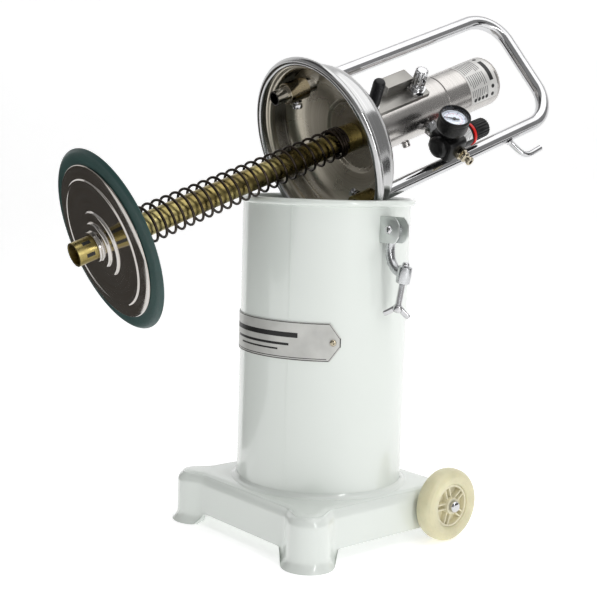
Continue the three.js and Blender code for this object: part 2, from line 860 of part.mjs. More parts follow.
function addMotor(head) {
  add(head, "motor_casing", motorCasing(), "steel");
  add(head, "motor_cylinder", motorCylinder(), "steel");
  add(head, "valve_block", valveBlock(), "steel");
  const outlet = radialGroup(head, FITTING_TURN, OUTLET_S);
  add(outlet, "outlet_fitting", outletFitting(), "chrome");
  add(outlet, "outlet_cap", outletCap(), "black");
  const vent = radialGroup(head, FITTING_TURN, VENT_S);
  add(vent, "vent_body", ventBody(), "chrome");
  add(vent, "vent_knob", ventKnob(), "chrome");
  const drain = radialGroup(head, 80, 134);
  add(drain, "drain_plug", drainPlug(), "steel");
  add(head, "air_piston", airPiston(), "steel");
  add(head, "piston_ring", pistonRing(), "black");
  add(head, "piston_rod", pistonRod(), "steel");
}

function addPump(head) {
  add(head, "pump_tube", pumpTube(), "brass");
  add(head, "tube_collar", tubeCollar(), "brass");
  add(head, "foot_valve_seat", footValveSeat(), "steel");
  add(head, "foot_valve_ball", valveBall(), "steel");
  add(head, "plunger", plunger(), "brass");
  add(head, "rod_packing", rodPacking(), "black");
  add(head, "follower_plate", followerPlate(), "chrome");
  add(head, "follower_seal", followerSeal(), "seal");
  add(head, "follower_back_plate", followerBackPlate(), "steel");
  add(head, "follower_spring", followerSpring(), "dark");
}

function addLid(head) {
  add(head, "lid", lid(), "steel");
  add(head, "handle_tube", handleTube(), "chrome");
  const legs = [["upper", HANDLE_TURN + 180, 102], ["lower", HANDLE_TURN, 215]];
  for (const [name, turn, boltTurn] of legs) {
    add(head, "leg_sleeve_" + name, legSleeve(turn, boltTurn), "steel");
    add(head, "sleeve_bolt_" + name, sleeveBolt(turn, boltTurn), "chrome");
  }
  add(head, "hose_hook", hoseHook(), "chrome");
}

function addWheel(root, name, side) {
  const wheel = new THREE.Group();
  wheel.rotation.y = (side * Math.PI) / 2;
  wheel.position.set(side * WHEEL_X, WHEEL_Y, WHEEL_R);
  root.add(wheel);
  add(wheel, "wheel_tyre_" + name, wheelTyre(), "cream");
  add(wheel, "wheel_hub_" + name, wheelHub(), "cream");
  const cap = add(wheel, "axle_cap_" + name, axleCap(), "chrome");
  cap.position.z = 12.4;
}

function addDrum(root) {
  add(root, "drum_shell", drumShell(), "paint");
  add(root, "base_shell", baseShell(), "paint");
  add(root, "name_plate", namePlate(), "label");
  add(root, "plate_rivet_right", plateRivet(-35), "brass");
  add(root, "plate_rivet_left", plateRivet(-145), "brass");
  const axle = add(root, "axle", rod(AXLE_R, -152, 152, 14).rotateY(Math.PI / 2), "steel");
  axle.position.set(0, WHEEL_Y, WHEEL_R);
  addWheel(root, "right", 1);
  addWheel(root, "left", -1);
  clamp(root, "right");
  const leftSide = new THREE.Group();
  leftSide.rotation.z = Math.PI;
  root.add(leftSide);
  clamp(leftSide, "left");
}

const pump = new THREE.Group();
addDrum(pump);
const head = new THREE.Group();
head.position.set(...HEAD_AT);
head.rotation.set(HEAD_LEAN * DEG, 0, HEAD_YAW * DEG, "ZXY");
pump.add(head);
addLid(head);
addPump(head);
addMotor(head);
addRegulator(head);

// The origin is on the floor, below the middle of everything.
const part = new THREE.Group();
part.add(pump);
part.updateMatrixWorld(true);
const middle = new THREE.Box3().setFromObject(part, true).getCenter(new THREE.Vector3());
pump.position.set(-middle.x, -middle.y, 0);

export default part;
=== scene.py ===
"""Looks of a wheeled drum grease pump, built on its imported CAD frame. Profiles are in millimetres."""

import json
import math

import bpy
from mathutils import Matrix, Vector


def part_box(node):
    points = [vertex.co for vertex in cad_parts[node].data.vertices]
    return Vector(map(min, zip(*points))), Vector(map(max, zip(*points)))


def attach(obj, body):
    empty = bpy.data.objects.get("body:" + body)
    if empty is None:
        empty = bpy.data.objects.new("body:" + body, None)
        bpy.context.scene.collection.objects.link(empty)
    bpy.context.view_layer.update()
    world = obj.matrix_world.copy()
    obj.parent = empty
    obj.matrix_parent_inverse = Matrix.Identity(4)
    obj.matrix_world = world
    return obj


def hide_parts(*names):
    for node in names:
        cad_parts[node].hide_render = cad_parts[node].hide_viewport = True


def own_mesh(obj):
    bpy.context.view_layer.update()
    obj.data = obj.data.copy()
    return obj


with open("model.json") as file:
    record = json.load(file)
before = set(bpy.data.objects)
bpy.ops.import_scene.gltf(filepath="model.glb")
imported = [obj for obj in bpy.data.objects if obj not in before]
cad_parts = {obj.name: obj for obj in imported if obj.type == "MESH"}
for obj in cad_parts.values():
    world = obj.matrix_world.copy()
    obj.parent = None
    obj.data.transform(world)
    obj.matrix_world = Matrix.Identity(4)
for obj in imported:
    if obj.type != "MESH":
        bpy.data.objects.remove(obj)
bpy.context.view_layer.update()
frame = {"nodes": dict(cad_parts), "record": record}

RECORD = frame["record"]
JOINTS = {joint["name"]: joint for joint in RECORD["behaviour"]["joints"]}
MOUNTS = {mount["name"]: mount for mount in RECORD["mounts"]}
MM = 0.001

# Sizes shared by several pieces, the same as the CAD model's.
DRUM_R = 106.0
DRUM_FOOT = 66.3
DRUM_TOP = 427.0
PLATE_MID = 257.0
BASE_HALF = 124.0
POST_R = 27.0
POST_AT = 111.0
FLARE_R = 33.5
LID_R = 120.0
TUBE_R = 14.0
TUBE_TIP = -348.0
MOTOR_R = 34.0
MOTOR_END = 300.0
LEG_R = 9.5
LEG_AT = 84.0
HANDLE_TOP = 374.0
HANDLE_BEND = 46.0
HANDLE_TURN = 60.0
FITTING_TURN = -50.0
PORT_FLAT = 37.0
OUTLET_S = 80.0
VENT_S = 156.0
DRAIN_TURN = 80.0
DRAIN_S = 134.0
FOLLOWER_S = -311.0

# Drawn here only. The CAD's spring has 24 turns at one radius, and its motor and dial are bare.
SPRING_TURNS = 27
SPRING_OPEN_TURNS = 24
SPRING_R = 22.4
SPRING_TAPER = 4.2
WIRE_R = 1.65
LABEL_R = 33.62
DIAL_START = 225
DIAL_SWEEP = 270
DIAL_MARK_Z = -7.45

# Where the photographer stood, from the drum's axis on the floor.
CAMERA_AT = (1093.27, -975.16, 477.65)
CAMERA_AIM = (0.0, 0.0, 200.0)
CAMERA_PAN = -1.26
CAMERA_TILT = 3.58
CAMERA_ROLL = 1.98
CAMERA_LENS = 69.73

# The wall behind stands square to the view, and its own light keeps it white.
CYCLORAMA_TURN = 48.0
FLOOR_GLOW = 0.46


# Frames.

def middle(node):
    low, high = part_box(node)
    return (Vector(low) + Vector(high)) / 2


def place(origin, z_axis, x_axis):
    """Local millimetres to world metres: z along z_axis, x as near to x_axis as a right angle allows."""
    z = Vector(z_axis).normalized()
    x = Vector(x_axis)
    x = (x - z * x.dot(z)).normalized()
    y = z.cross(x)
    turn = Matrix((x, y, z)).transposed().to_4x4()
    return Matrix.Translation(origin) @ turn @ Matrix.Scale(MM, 4)


def spin(degrees, axis="Z"):
    return Matrix.Rotation(math.radians(degrees), 4, axis)


def turned(at, degrees, height):
    """The frame whose z points out along a radius of another frame, at an angle and a height."""
    return at @ Matrix.Translation((0, 0, height)) @ spin(degrees) @ spin(90, "Y")


def joint_place(name, x_axis):
    joint = JOINTS[name]
    return place(joint["pos_m"], joint["axis"], x_axis)


AXIS = Vector(JOINTS["follower_slide"]["axis"])
OUTWARD = Vector(JOINTS["vent_knob_turn"]["axis"])
SIDEWAYS = AXIS.cross(OUTWARD)
FITTING_SWING = math.radians(-FITTING_TURN)
HEAD_X = OUTWARD * math.cos(FITTING_SWING) + SIDEWAYS * math.sin(FITTING_SWING)
HEAD_ORIGIN = Vector(JOINTS["vent_knob_turn"]["pos_m"]) - AXIS * VENT_S * MM
HEAD = place(HEAD_ORIGIN, AXIS, HEAD_X)
DRUM_CENTRE = middle("drum_shell")
DRUM = place((0, DRUM_CENTRE.y, 0), (0, 0, 1), (1, 0, 0))
HANDLE = HEAD @ spin(HANDLE_TURN)
FLOW = Vector(MOUNTS["air_inlet"]["axis"])
REG = place(JOINTS["regulator_knob_turn"]["pos_m"], AXIS, FLOW)
NEEDLE = JOINTS["gauge_needle_turn"]
GAUGE = place(NEEDLE["pos_m"], -Vector(NEEDLE["axis"]), FLOW)


# Materials.

class Paint:
    """A Principled material and the few node moves that every finish here is made of."""

    def __init__(self, name, color, metallic=0.0, roughness=0.5, **sockets):
        self.mat = bpy.data.materials.new(name)
        self.mat.use_nodes = True
        self.nodes = self.mat.node_tree.nodes
        self.links = self.mat.node_tree.links
        self.bsdf = self.nodes["Principled BSDF"]
        self.bsdf.inputs["Base Color"].default_value = (*color, 1)
        self.bsdf.inputs["Metallic"].default_value = metallic
        self.bsdf.inputs["Roughness"].default_value = roughness
        for socket, value in sockets.items():
            self.bsdf.inputs[socket.replace("_", " ")].default_value = value
        self.normal = None

    def noise(self, scale, detail=4.0, stretch=(1, 1, 1), space="Object"):
        coords = self.nodes.new("ShaderNodeTexCoord")
        mapping = self.nodes.new("ShaderNodeMapping")
        mapping.inputs["Scale"].default_value = stretch
        texture = self.nodes.new("ShaderNodeTexNoise")
        texture.inputs["Scale"].default_value = scale
        texture.inputs["Detail"].default_value = detail
        self.links.new(coords.outputs[space], mapping.inputs["Vector"])
        self.links.new(mapping.outputs["Vector"], texture.inputs["Vector"])
        return texture.outputs["Fac"]

    def ramp(self, fac, stops):
        node = self.nodes.new("ShaderNodeValToRGB")
        ramp = node.color_ramp
        while len(ramp.elements) < len(stops):
            ramp.elements.new(0.5)
        for element, (place_at, color) in zip(ramp.elements, stops):
            element.position = place_at
            element.color = (*color, 1)
        self.links.new(fac, node.inputs["Fac"])
        return node.outputs["Color"]

    def color(self, fac, stops):
        self.links.new(self.ramp(fac, stops), self.bsdf.inputs["Base Color"])
        return self

    def roughness(self, fac, low, high, start=0.3, end=0.7):
        node = self.nodes.new("ShaderNodeMapRange")
        node.inputs["From Min"].default_value = start
        node.inputs["From Max"].default_value = end
        node.inputs["To Min"].default_value = low
        node.inputs["To Max"].default_value = high
        self.links.new(fac, node.inputs["Value"])
        self.links.new(node.outputs["Result"], self.bsdf.inputs["Roughness"])
        return self

    def bump(self, fac, distance, strength=1.0):
        node = self.nodes.new("ShaderNodeBump")
        node.inputs["Distance"].default_value = distance * MM
        node.inputs["Strength"].default_value = strength
        self.links.new(fac, node.inputs["Height"])
        if self.normal:
            self.links.new(self.normal, node.inputs["Normal"])
        self.normal = node.outputs["Normal"]
        self.links.new(self.normal, self.bsdf.inputs["Normal"])
        return self


def enamel():
    paint = Paint("enamel", (0.76, 0.80, 0.76), roughness=0.24, Coat_Weight=0.7, Coat_Roughness=0.05)
    tone = paint.noise(9, 3)
    paint.color(tone, [(0.1, (0.765, 0.81, 0.767)), (0.9, (0.80, 0.84, 0.80))])
    paint.roughness(paint.noise(40, 2), 0.23, 0.27, 0.1, 0.9)
    return paint.bump(paint.noise(90, 0), 0.002, 0.1).mat


def turned_metal(name, dark, light, low, high, rings=60.0, depth=0.02):
    """Metal worked in a lathe: fine rings along the profile, with soft patches over them."""
    paint = Paint(name, light, metallic=1.0, roughness=low)
    line = paint.noise(1.0, 6, (3.0, rings, 1), "UV")
    patch = paint.noise(22, 4)
    paint.color(line, [(0.32, dark), (0.68, light)])
    paint.roughness(patch, low, high)
    return paint.bump(line, depth, 0.6).mat


def chrome(name="chrome", tint=(0.62, 0.62, 0.63)):
    paint = Paint(name, tint, metallic=1.0, roughness=0.08)
    shade = tuple(value * 0.9 for value in tint)
    paint.color(paint.noise(30, 3), [(0.35, shade), (0.65, tint)])
    return paint.roughness(paint.noise(70, 5), 0.05, 0.16).mat


def cast_zinc():
    paint = Paint("cast_zinc", (0.56, 0.57, 0.58), metallic=1.0, roughness=0.22)
    grain = paint.noise(700, 5)
    paint.color(paint.noise(60, 4), [(0.3, (0.44, 0.45, 0.46)), (0.7, (0.62, 0.63, 0.64))])
    paint.roughness(grain, 0.16, 0.34)
    return paint.bump(grain, 0.12, 0.5).mat


def plated_sheet():
    paint = Paint("plated_sheet", (0.72, 0.75, 0.73), metallic=0.85, roughness=0.36)
    paint.color(paint.noise(50, 4), [(0.3, (0.55, 0.58, 0.56)), (0.7, (0.65, 0.68, 0.66))])
    return paint.roughness(paint.noise(260, 4), 0.28, 0.44).mat


def yellow_zinc():
    paint = Paint("yellow_zinc", (0.42, 0.34, 0.13), metallic=1.0, roughness=0.25)
    stops = [(0.25, (0.15, 0.12, 0.05)), (0.45, (0.30, 0.235, 0.085))]
    stops += [(0.62, (0.38, 0.32, 0.13)), (0.8, (0.30, 0.27, 0.14))]
    paint.color(paint.noise(24, 5), stops)
    paint.roughness(paint.noise(120, 5), 0.2, 0.38)
    return paint.bump(paint.noise(1.0, 4, (2.0, 40, 1), "UV"), 0.015, 0.5).mat


def oiled_wire():
    paint = Paint("oiled_wire", (0.035, 0.028, 0.024), metallic=0.9, roughness=0.3)
    paint.color(paint.noise(90, 5), [(0.3, (0.02, 0.016, 0.014)), (0.72, (0.085, 0.065, 0.05))])
    return paint.roughness(paint.noise(300, 4), 0.2, 0.45).mat


def mirror_plate():
    paint = Paint("mirror_plate", (0.66, 0.64, 0.62), metallic=1.0, roughness=0.08)
    line = paint.noise(1.0, 5, (2.0, 22, 1), "UV")
    paint.color(line, [(0.3, (0.50, 0.46, 0.41)), (0.6, (0.62, 0.60, 0.58))])
    paint.roughness(paint.noise(40, 5), 0.05, 0.16)
    return paint.bump(line, 0.002, 0.3).mat


def moulded(name, color, low, high, grain=900.0, depth=0.03, **sockets):
    """Moulded plastic or rubber: a slight tone drift and a fine skin."""
    paint = Paint(name, color, roughness=low, **sockets)
    shade = tuple(value * 0.8 for value in color)
    paint.color(paint.noise(35, 4), [(0.3, shade), (0.7, color)])
    skin = paint.noise(grain, 3)
    paint.roughness(skin, low, high)
    return paint.bump(skin, depth, 0.4).mat


def clear_lens():
    paint = Paint("clear_lens", (0.98, 0.99, 1.0), roughness=0.02, Transmission_Weight=1.0, IOR=1.15)
    return paint.roughness(paint.noise(60, 3), 0.0, 0.04).mat


MATERIALS = {
    "enamel": enamel(),
    "spun": turned_metal("spun_steel", (0.46, 0.46, 0.46), (0.56, 0.56, 0.56), 0.12, 0.22, 30, 0.003),
    # A darker, browner copy of the spun steel: painted shade for the lid's underside.
    "spun_painted_shade": turned_metal("spun_painted_shade", (0.46, 0.42, 0.34), (0.56, 0.52, 0.44), 0.24, 0.32, 20, 0.003),
    "motor": turned_metal("satin_aluminium", (0.50, 0.48, 0.46), (0.58, 0.56, 0.54), 0.2, 0.3, 46, 0.004),
    "machined": turned_metal("machined_block", (0.30, 0.29, 0.27), (0.38, 0.37, 0.35), 0.34, 0.46, 10, 0.004),
    "steel": turned_metal("ground_steel", (0.50, 0.50, 0.50), (0.66, 0.66, 0.66), 0.25, 0.4, 40, 0.01),
    "brass": turned_metal("turned_brass", (0.52, 0.40, 0.18), (0.72, 0.58, 0.30), 0.25, 0.4, 40, 0.01),
    "nickel": chrome("worn_nickel", (0.46, 0.41, 0.31)),
    "chrome": chrome(),
    "zinc": cast_zinc(),
    "plated": plated_sheet(),
    "yellow": yellow_zinc(),
    "wire": oiled_wire(),
    "mirror": mirror_plate(),
    "cream": moulded("cream_plastic", (0.80, 0.75, 0.50), 0.26, 0.42, 500, 0.04, Subsurface_Weight=0.05),
    "hub": moulded("hub_plastic", (0.84, 0.79, 0.58), 0.3, 0.45, 500, 0.04),
    "seal": moulded("green_rubber", (0.018, 0.060, 0.055), 0.32, 0.5, 800, 0.05),
    "rubber": moulded("black_rubber", (0.018, 0.018, 0.02), 0.4, 0.6, 800, 0.05),
    "vinyl": moulded("black_vinyl", (0.008, 0.008, 0.009), 0.25, 0.4, 500, 0.03, Specular_IOR_Level=0.25),
    "black": moulded("black_plastic", (0.006, 0.006, 0.006), 0.24, 0.42, 900, 0.02, Specular_IOR_Level=0.25),
    "red": moulded("red_plastic", (0.72, 0.012, 0.008), 0.25, 0.4, 900, 0.02),
    "foil": moulded("plate_foil", (0.66, 0.66, 0.63), 0.32, 0.45, 300, 0.01, Metallic=0.3),
    "label": moulded("label_foil", (0.74, 0.73, 0.71), 0.3, 0.45, 300, 0.01, Metallic=0.35),
    # Black ink for print and the needle, also used as painted shade in holes and slots.
    "ink_and_hole_shade": moulded("black_ink_and_hole_shade", (0.012, 0.012, 0.012), 0.35, 0.5, 600, 0.01),
    "grey_ink": moulded("grey_ink", (0.16, 0.16, 0.16), 0.35, 0.5, 600, 0.01),
    "red_ink": moulded("red_ink", (0.60, 0.03, 0.02), 0.35, 0.5, 600, 0.01),
    "blue_ink": moulded("blue_ink", (0.06, 0.08, 0.35), 0.35, 0.5, 600, 0.01),
    "sticker": moulded("white_sticker", (0.80, 0.80, 0.80), 0.4, 0.55, 600, 0.01),
    "dial": moulded("dial_face", (0.82, 0.87, 0.97), 0.35, 0.5, 600, 0.01),
    "lens": clear_lens(),
}


# Mesh making.

def around(r, a, z):
    """A point at a radius, an angle and a height."""
    return (r * math.cos(a), r * math.sin(a), z)


def plain_ring(inner, outer, low, high):
    """The square outline of a ring, or of a rod where inner is 0, for revolve."""
    return [(inner, low), (outer, low), (outer, high), (inner, high)]


def arc(r, z, radius, start, end, steps):
    points = []
    for i in range(steps + 1):
        a = math.radians(start + (end - start) * i / steps)
        points.append((r + radius * math.cos(a), z + radius * math.sin(a)))
    return points


def softened(profile, radius, steps=3):
    """A closed outline with its clear corners rounded, apart from the points on the axis."""
    result = []
    count = len(profile)
    for i, point in enumerate(profile):
        here = Vector(point)
        back = Vector(profile[i - 1]) - here
        ahead = Vector(profile[(i + 1) % count]) - here
        if point[0] == 0 or not back.length or not ahead.length or back.angle(-ahead) < math.radians(18):
            result.append(point)
            continue
        reach = min(radius, back.length * 0.45, ahead.length * 0.45)
        start = here + back.normalized() * reach
        end = here + ahead.normalized() * reach
        for k in range(steps + 1):
            t = k / steps
            result.append(tuple(start * (1 - t) ** 2 + here * 2 * t * (1 - t) + end * t * t))
    return result


def add(name, data):
    """A new object in the scene."""
    obj = bpy.data.objects.new(name, data)
    bpy.context.scene.collection.objects.link(obj)
    return obj


def moved(part, at):
    points, faces, corners = part
    return [at @ point for point in points], faces, corners


def piece(name, parts, material, at, body, nodes=(), smooth=32):
    """One object from lists of (points, faces, face uvs), riding on a body."""
    points, faces, corners = [], [], []
    for part_points, part_faces, part_corners in parts:
        start = len(points)
        points += [at @ Vector(point) for point in part_points]
        faces += [[start + k for k in face] for face in part_faces]
        corners += part_corners
    mesh = bpy.data.meshes.new(name)
    mesh.from_pydata(points, [], faces)
    layer = mesh.uv_layers.new(name="around")
    flat = [value for face in corners for corner in face for value in corner]
    layer.data.foreach_set("uv", flat)
    mesh.shade_smooth()
    mesh.set_sharp_from_angle(angle=math.radians(smooth))
    mesh.validate()
    mesh.materials.append(MATERIALS[material])
    obj = add(name, mesh)
    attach(obj, body)
    if nodes:
        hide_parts(*nodes)
    return obj


def stand_in(node, parts, material, at, body, smooth=32):
    """A piece that takes the place of the CAD node of its name."""
    return piece("fine_" + node, parts, material, at, body, [node], smooth)


def revolve(profile, segments=96, at=Matrix()):
    """A closed outline of (radius, height) turned about z."""
    area = sum(a[0] * b[1] - b[0] * a[1] for a, b in zip(profile, profile[1:] + profile[:1]))
    outline = list(profile) if area > 0 else list(reversed(profile))
    points, rows, lengths = [], [], [0.0]
    for k, (r, z) in enumerate(outline):
        if k:
            lengths.append(lengths[-1] + math.dist(outline[k - 1], (r, z)))
        start = len(points)
        if r < 1e-6:
            points.append(Vector((0, 0, z)))
            rows.append([start] * (segments + 1))
            continue
        for i in range(segments):
            a = 2 * math.pi * i / segments
            points.append(Vector(around(r, a, z)))
        rows.append([start + i % segments for i in range(segments + 1)])
    lengths.append(lengths[-1] + math.dist(outline[-1], outline[0]))
    faces, corners = [], []
    for k in range(len(outline)):
        low, high = rows[k], rows[(k + 1) % len(outline)]
        v0, v1 = lengths[k], lengths[k + 1]
        for i in range(segments):
            u0, u1 = i / segments, (i + 1) / segments
            lower = [(low[i], (u0, v0)), (low[i + 1], (u1, v0))]
            upper = [(high[i + 1], (u1, v1)), (high[i], (u0, v1))]
            kept = []
            for index, uv in lower + upper:
                if index not in [other for other, _ in kept]:
                    kept.append((index, uv))
            if len(kept) > 2:
                faces.append([index for index, _ in kept])
                corners.append([(u, v * 0.02) for _, (u, v) in kept])
    return moved((points, faces, corners), at)


def loft(rings, closed=False):
    """A skin over rings of equal point counts, capped at both ends, or closed round on itself."""
    count = len(rings[0])
    points = [Vector(point) for ring in rings for point in ring]
    faces, corners = [], []
    last = len(rings) if closed else len(rings) - 1
    for i in range(last):
        for j in range(count):
            here, above = i * count, (i + 1) % len(rings) * count
            beside = (j + 1) % count
            faces.append([here + j, here + beside, above + beside, above + j])
            u0, u1 = j / count, (j + 1) / count
            corners.append([(u0, i), (u1, i), (u1, i + 1), (u0, i + 1)])
    if not closed:
        faces.append(list(range(count))[::-1])
        faces.append([last * count + j for j in range(count)])
        corners += [[(0.0, 0.0)] * count] * 2
    volume = 0.0
    for face in faces:
        for k in range(1, len(face) - 1):
            volume += points[face[0]].dot(points[face[k]].cross(points[face[k + 1]]))
    if volume < 0:
        faces = [face[::-1] for face in faces]
        corners = [corner[::-1] for corner in corners]
    return points, faces, corners


def rounded_ring(half_x, half_y, radius, z, centre=(0.0, 0.0), steps=6):
    points = []
    for corner, (sx, sy) in enumerate(((1, 1), (-1, 1), (-1, -1), (1, -1))):
        cx, cy = centre[0] + sx * (half_x - radius), centre[1] + sy * (half_y - radius)
        for i in range(steps + 1):
            a = math.radians(corner * 90 + 90 * i / steps)
            points.append((cx + radius * math.cos(a), cy + radius * math.sin(a), z))
    return points


def slab(half_x, half_y, radius, low, high, centre=(0.0, 0.0), edge=0.8):
    """A block with rounded upright corners and softened rims, along z."""
    levels = [(low, edge), (low + edge * 0.3, edge * 0.3), (low + edge, 0.0)]
    levels += [(high - edge, 0.0), (high - edge * 0.3, edge * 0.3), (high, edge)]
    return loft([rounded_ring(half_x - i, half_y - i, max(radius - i, 0.2), z, centre) for z, i in levels])


def sweep(path, normals, radius, sides=24, bore=0.0):
    """A round bar or pipe along points, with a normal to the path given at each of them."""
    rings = []
    for i, point in enumerate(path):
        before, after = path[max(i - 1, 0)], path[min(i + 1, len(path) - 1)]
        side = (after - before).normalized().cross(normals[i]).normalized()
        rings.append([point + (normals[i] * math.cos(a) + side * math.sin(a)) * radius
                      for a in (2 * math.pi * k / sides for k in range(sides))])
    if not bore:
        return loft(rings)
    inner = []
    for core, ring in zip(path, rings):
        inner.append([core + (corner - core) * (bore / radius) for corner in ring])
    return loft(rings + inner[::-1], closed=True)


def planar(points):
    """A path in the x-z plane and its normals, for sweep."""
    path = [Vector((x, 0, z)) for x, z in points]
    return path, [Vector((0, 1, 0))] * len(path)


def patch(radius, thickness, start, end, low, high, steps=24):
    """A thin skin on a cylinder about z, between two angles in degrees and two heights."""
    rings = []
    for i in range(steps + 1):
        t = i / steps
        a = math.radians(start + (end - start) * t)
        bottom = low(t) if callable(low) else low
        top = high(t) if callable(high) else high
        section = [(radius, bottom), (radius, top), (radius + thickness, top), (radius + thickness, bottom)]
        rings.append([around(r, a, z) for r, z in section])
    return loft(rings)


def hexagon(radius, low, high, chamfer=0.9, steps=48):
    """A hex nut form: six flats with the round chamfer that turning leaves on both ends."""
    rings = []
    flat = radius * math.cos(math.pi / 6)
    levels = ((low, True), (low + chamfer * 0.5, False), (high - chamfer * 0.5, False), (high, True))
    for z, trimmed in levels:
        ring = []
        for i in range(steps):
            a = 2 * math.pi * i / steps
            side = flat / math.cos((a + math.pi / 6) % (math.pi / 3) - math.pi / 6)
            reach = min(side, flat + (radius - flat) * 0.35) if trimmed else side
            ring.append(around(reach, a, z))
        rings.append(ring)
    return loft(rings)


def fluted(radius, depth, teeth, low, high, draft, dome):
    """A grip with rounded ribs, drawn in a little towards its end."""
    rings = []
    steps = teeth * 8
    levels = [(low, 0.6), (low + 0.6, 0.0), (high - dome, draft)]
    levels += [(high - dome * 0.3, draft + dome * 0.45), (high, draft + dome * 1.6)]
    for z, inset in levels:
        ring = []
        for i in range(steps):
            a = 2 * math.pi * i / steps
            wave = 0.5 - 0.5 * math.cos(a * teeth)
            ring.append(around(radius - inset - depth * wave ** 0.6, a, z))
        rings.append(ring)
    return loft(rings)


def lathe(name, profile, material, at, body, segments=96, soft=0.5):
    """A turned piece that stands for the CAD node of its name."""
    outline = softened(profile, soft) if soft else profile
    return stand_in(name, [revolve(outline, segments)], material, at, body)


# Drum and base.

def drum():
    wall = 1.4
    bead = 4.2
    inner = DRUM_R - wall
    bead_z = DRUM_TOP - bead
    profile = [(0, DRUM_FOOT), (DRUM_R - 1.5, DRUM_FOOT), (DRUM_R, DRUM_FOOT + 1.5), (DRUM_R, bead_z - 5.5)]
    profile += [(DRUM_R + 0.3, bead_z - 4.4)]
    profile += arc(DRUM_R + 1.8, bead_z, bead, -95, 175, 22)
    profile += [(inner, bead_z - 3), (inner, DRUM_FOOT + 4), (inner - 2, DRUM_FOOT + 2), (0, DRUM_FOOT + 2)]
    body = stand_in("drum_shell", [revolve(profile, 160)], "enamel", DRUM, "drum")
    turn = -64.8
    half = 0.45
    seam = patch(DRUM_R - 0.1, 0.35, turn - half, turn + half, DRUM_FOOT + 5, bead_z - 5, 4)
    piece("drum_seam", [seam], "enamel", DRUM, "drum", smooth=80)


def square_reach(a, half, corner):
    """How far a rounded square reaches from its middle at an angle."""
    c, s = abs(math.cos(a)), abs(math.sin(a))
    reach = half / max(c, s)
    x, y = reach * c, reach * s
    core = half - corner
    if min(x, y) <= core:
        return reach
    along = core * (c + s)
    return along + math.sqrt(max(along * along - 2 * core * core + corner * corner, 0))


def post_reach(a, radius, centre_y):
    """How far the nearer front post reaches at an angle, or nothing."""
    side = 1 if math.cos(a) > 0 else -1
    px, py = side * POST_AT, centre_y
    along = px * math.cos(a) + py * math.sin(a)
    gap = radius * radius - (px * px + py * py - along * along)
    return along + math.sqrt(gap) if gap > 0 and along > 0 else 0.0


def smoothed(values, width):
    """A ring of values blurred with a bell curve."""
    count = len(values)
    reach = int(width * 3)
    bell = [math.exp(-0.5 * (k / width) ** 2) for k in range(-reach, reach + 1)]
    total = sum(bell)
    blurred = []
    for i in range(count):
        near = (values[(i + k) % count] for k in range(-reach, reach + 1))
        blurred.append(sum(value * weight for value, weight in zip(near, bell)) / total)
    return blurred


def base():
    """Pressed base: flat skirts that swell into the two front posts, a soft shoulder, and the deck."""
    count = 720
    middle_y = -2.0
    corner = 22
    deck = 66.0
    under = 64.0
    arch = 16.0
    centre_y = -POST_AT - middle_y
    angles = [2 * math.pi * i / count for i in range(count)]

    def in_post(a):
        return 1.0 if post_reach(a, FLARE_R, centre_y) > square_reach(a, BASE_HALF, corner) else 0.0

    lift = smoothed([in_post(a) for a in angles], 3.0)
    foot = [arch * (1 - min(1.0, max(0.0, (value - 0.12) / 0.5)) ** 0.7) for value in lift]

    def outline(z, inset, thickness=0.0):
        flare = (FLARE_R - POST_R) * max(0.0, 1 - z / 11.0) ** 1.6
        post = POST_R + flare - 1.15 * inset - thickness
        half = BASE_HALF - inset - thickness
        bend = max(corner - inset * 0.4 - thickness, 6)
        reach = [max(square_reach(a, half, bend), post_reach(a, post, centre_y)) for a in angles]
        return smoothed(reach, 2.6)

    def level(reach, heights):
        return [(r * math.cos(a), r * math.sin(a) + middle_y, z) for r, a, z in zip(reach, angles, heights)]

    def circle(r, z):
        return [around(r, a, z) for a in angles]

    rings = []
    for z in (0.0, 1.5, 3.5, 6.0, 9.0, 12.5, 16.0, 24.0, 36.0, 46.0):
        rings.append(level(outline(z, 0.0), [max(z, f) for f in foot]))
    rings.append(level(outline(50.0, 0.0), [50.0] * count))
    for k in range(13):
        t = math.radians(k * 7.5)
        z = 52.0 + 14.0 * math.sin(t)
        rings.append(level(outline(z, 14.0 * (1 - math.cos(t))), [z] * count))
    rings += [circle(103.0, deck), circle(60.0, deck), circle(60.0, under)]
    for z in (under, 58.0, 40.0, 16.0, 6.0, 0.0):
        reach = outline(min(z, 50.0), 4.0 if z > 60 else 0.0, deck - under)
        rings.append(level(reach, [max(z, f + 0.01) for f in foot]))
    skin = loft(rings, closed=True)
    hub = revolve(plain_ring(0, 60.5, under + 0.05, deck - 0.05), 96)
    fillet = [(8, 65.0), (7, 66.5), (3.4, 67.2), (1.4, 68.8), (0.5, 71.5), (0.2, 71.5)]
    collar = revolve([(DRUM_R + out, z) for out, z in [(0.3, 65.0)] + fillet], 160)
    obj = stand_in("base_shell", [skin, hub, collar], "enamel", DRUM, "drum", smooth=50)


def plate_half(t):
    """Half height of the name plate, along its length: blunt tips and straight chamfers."""
    return min(23.2, 6 + 60 * (1 - abs(2 * t - 1)) * 2.5)


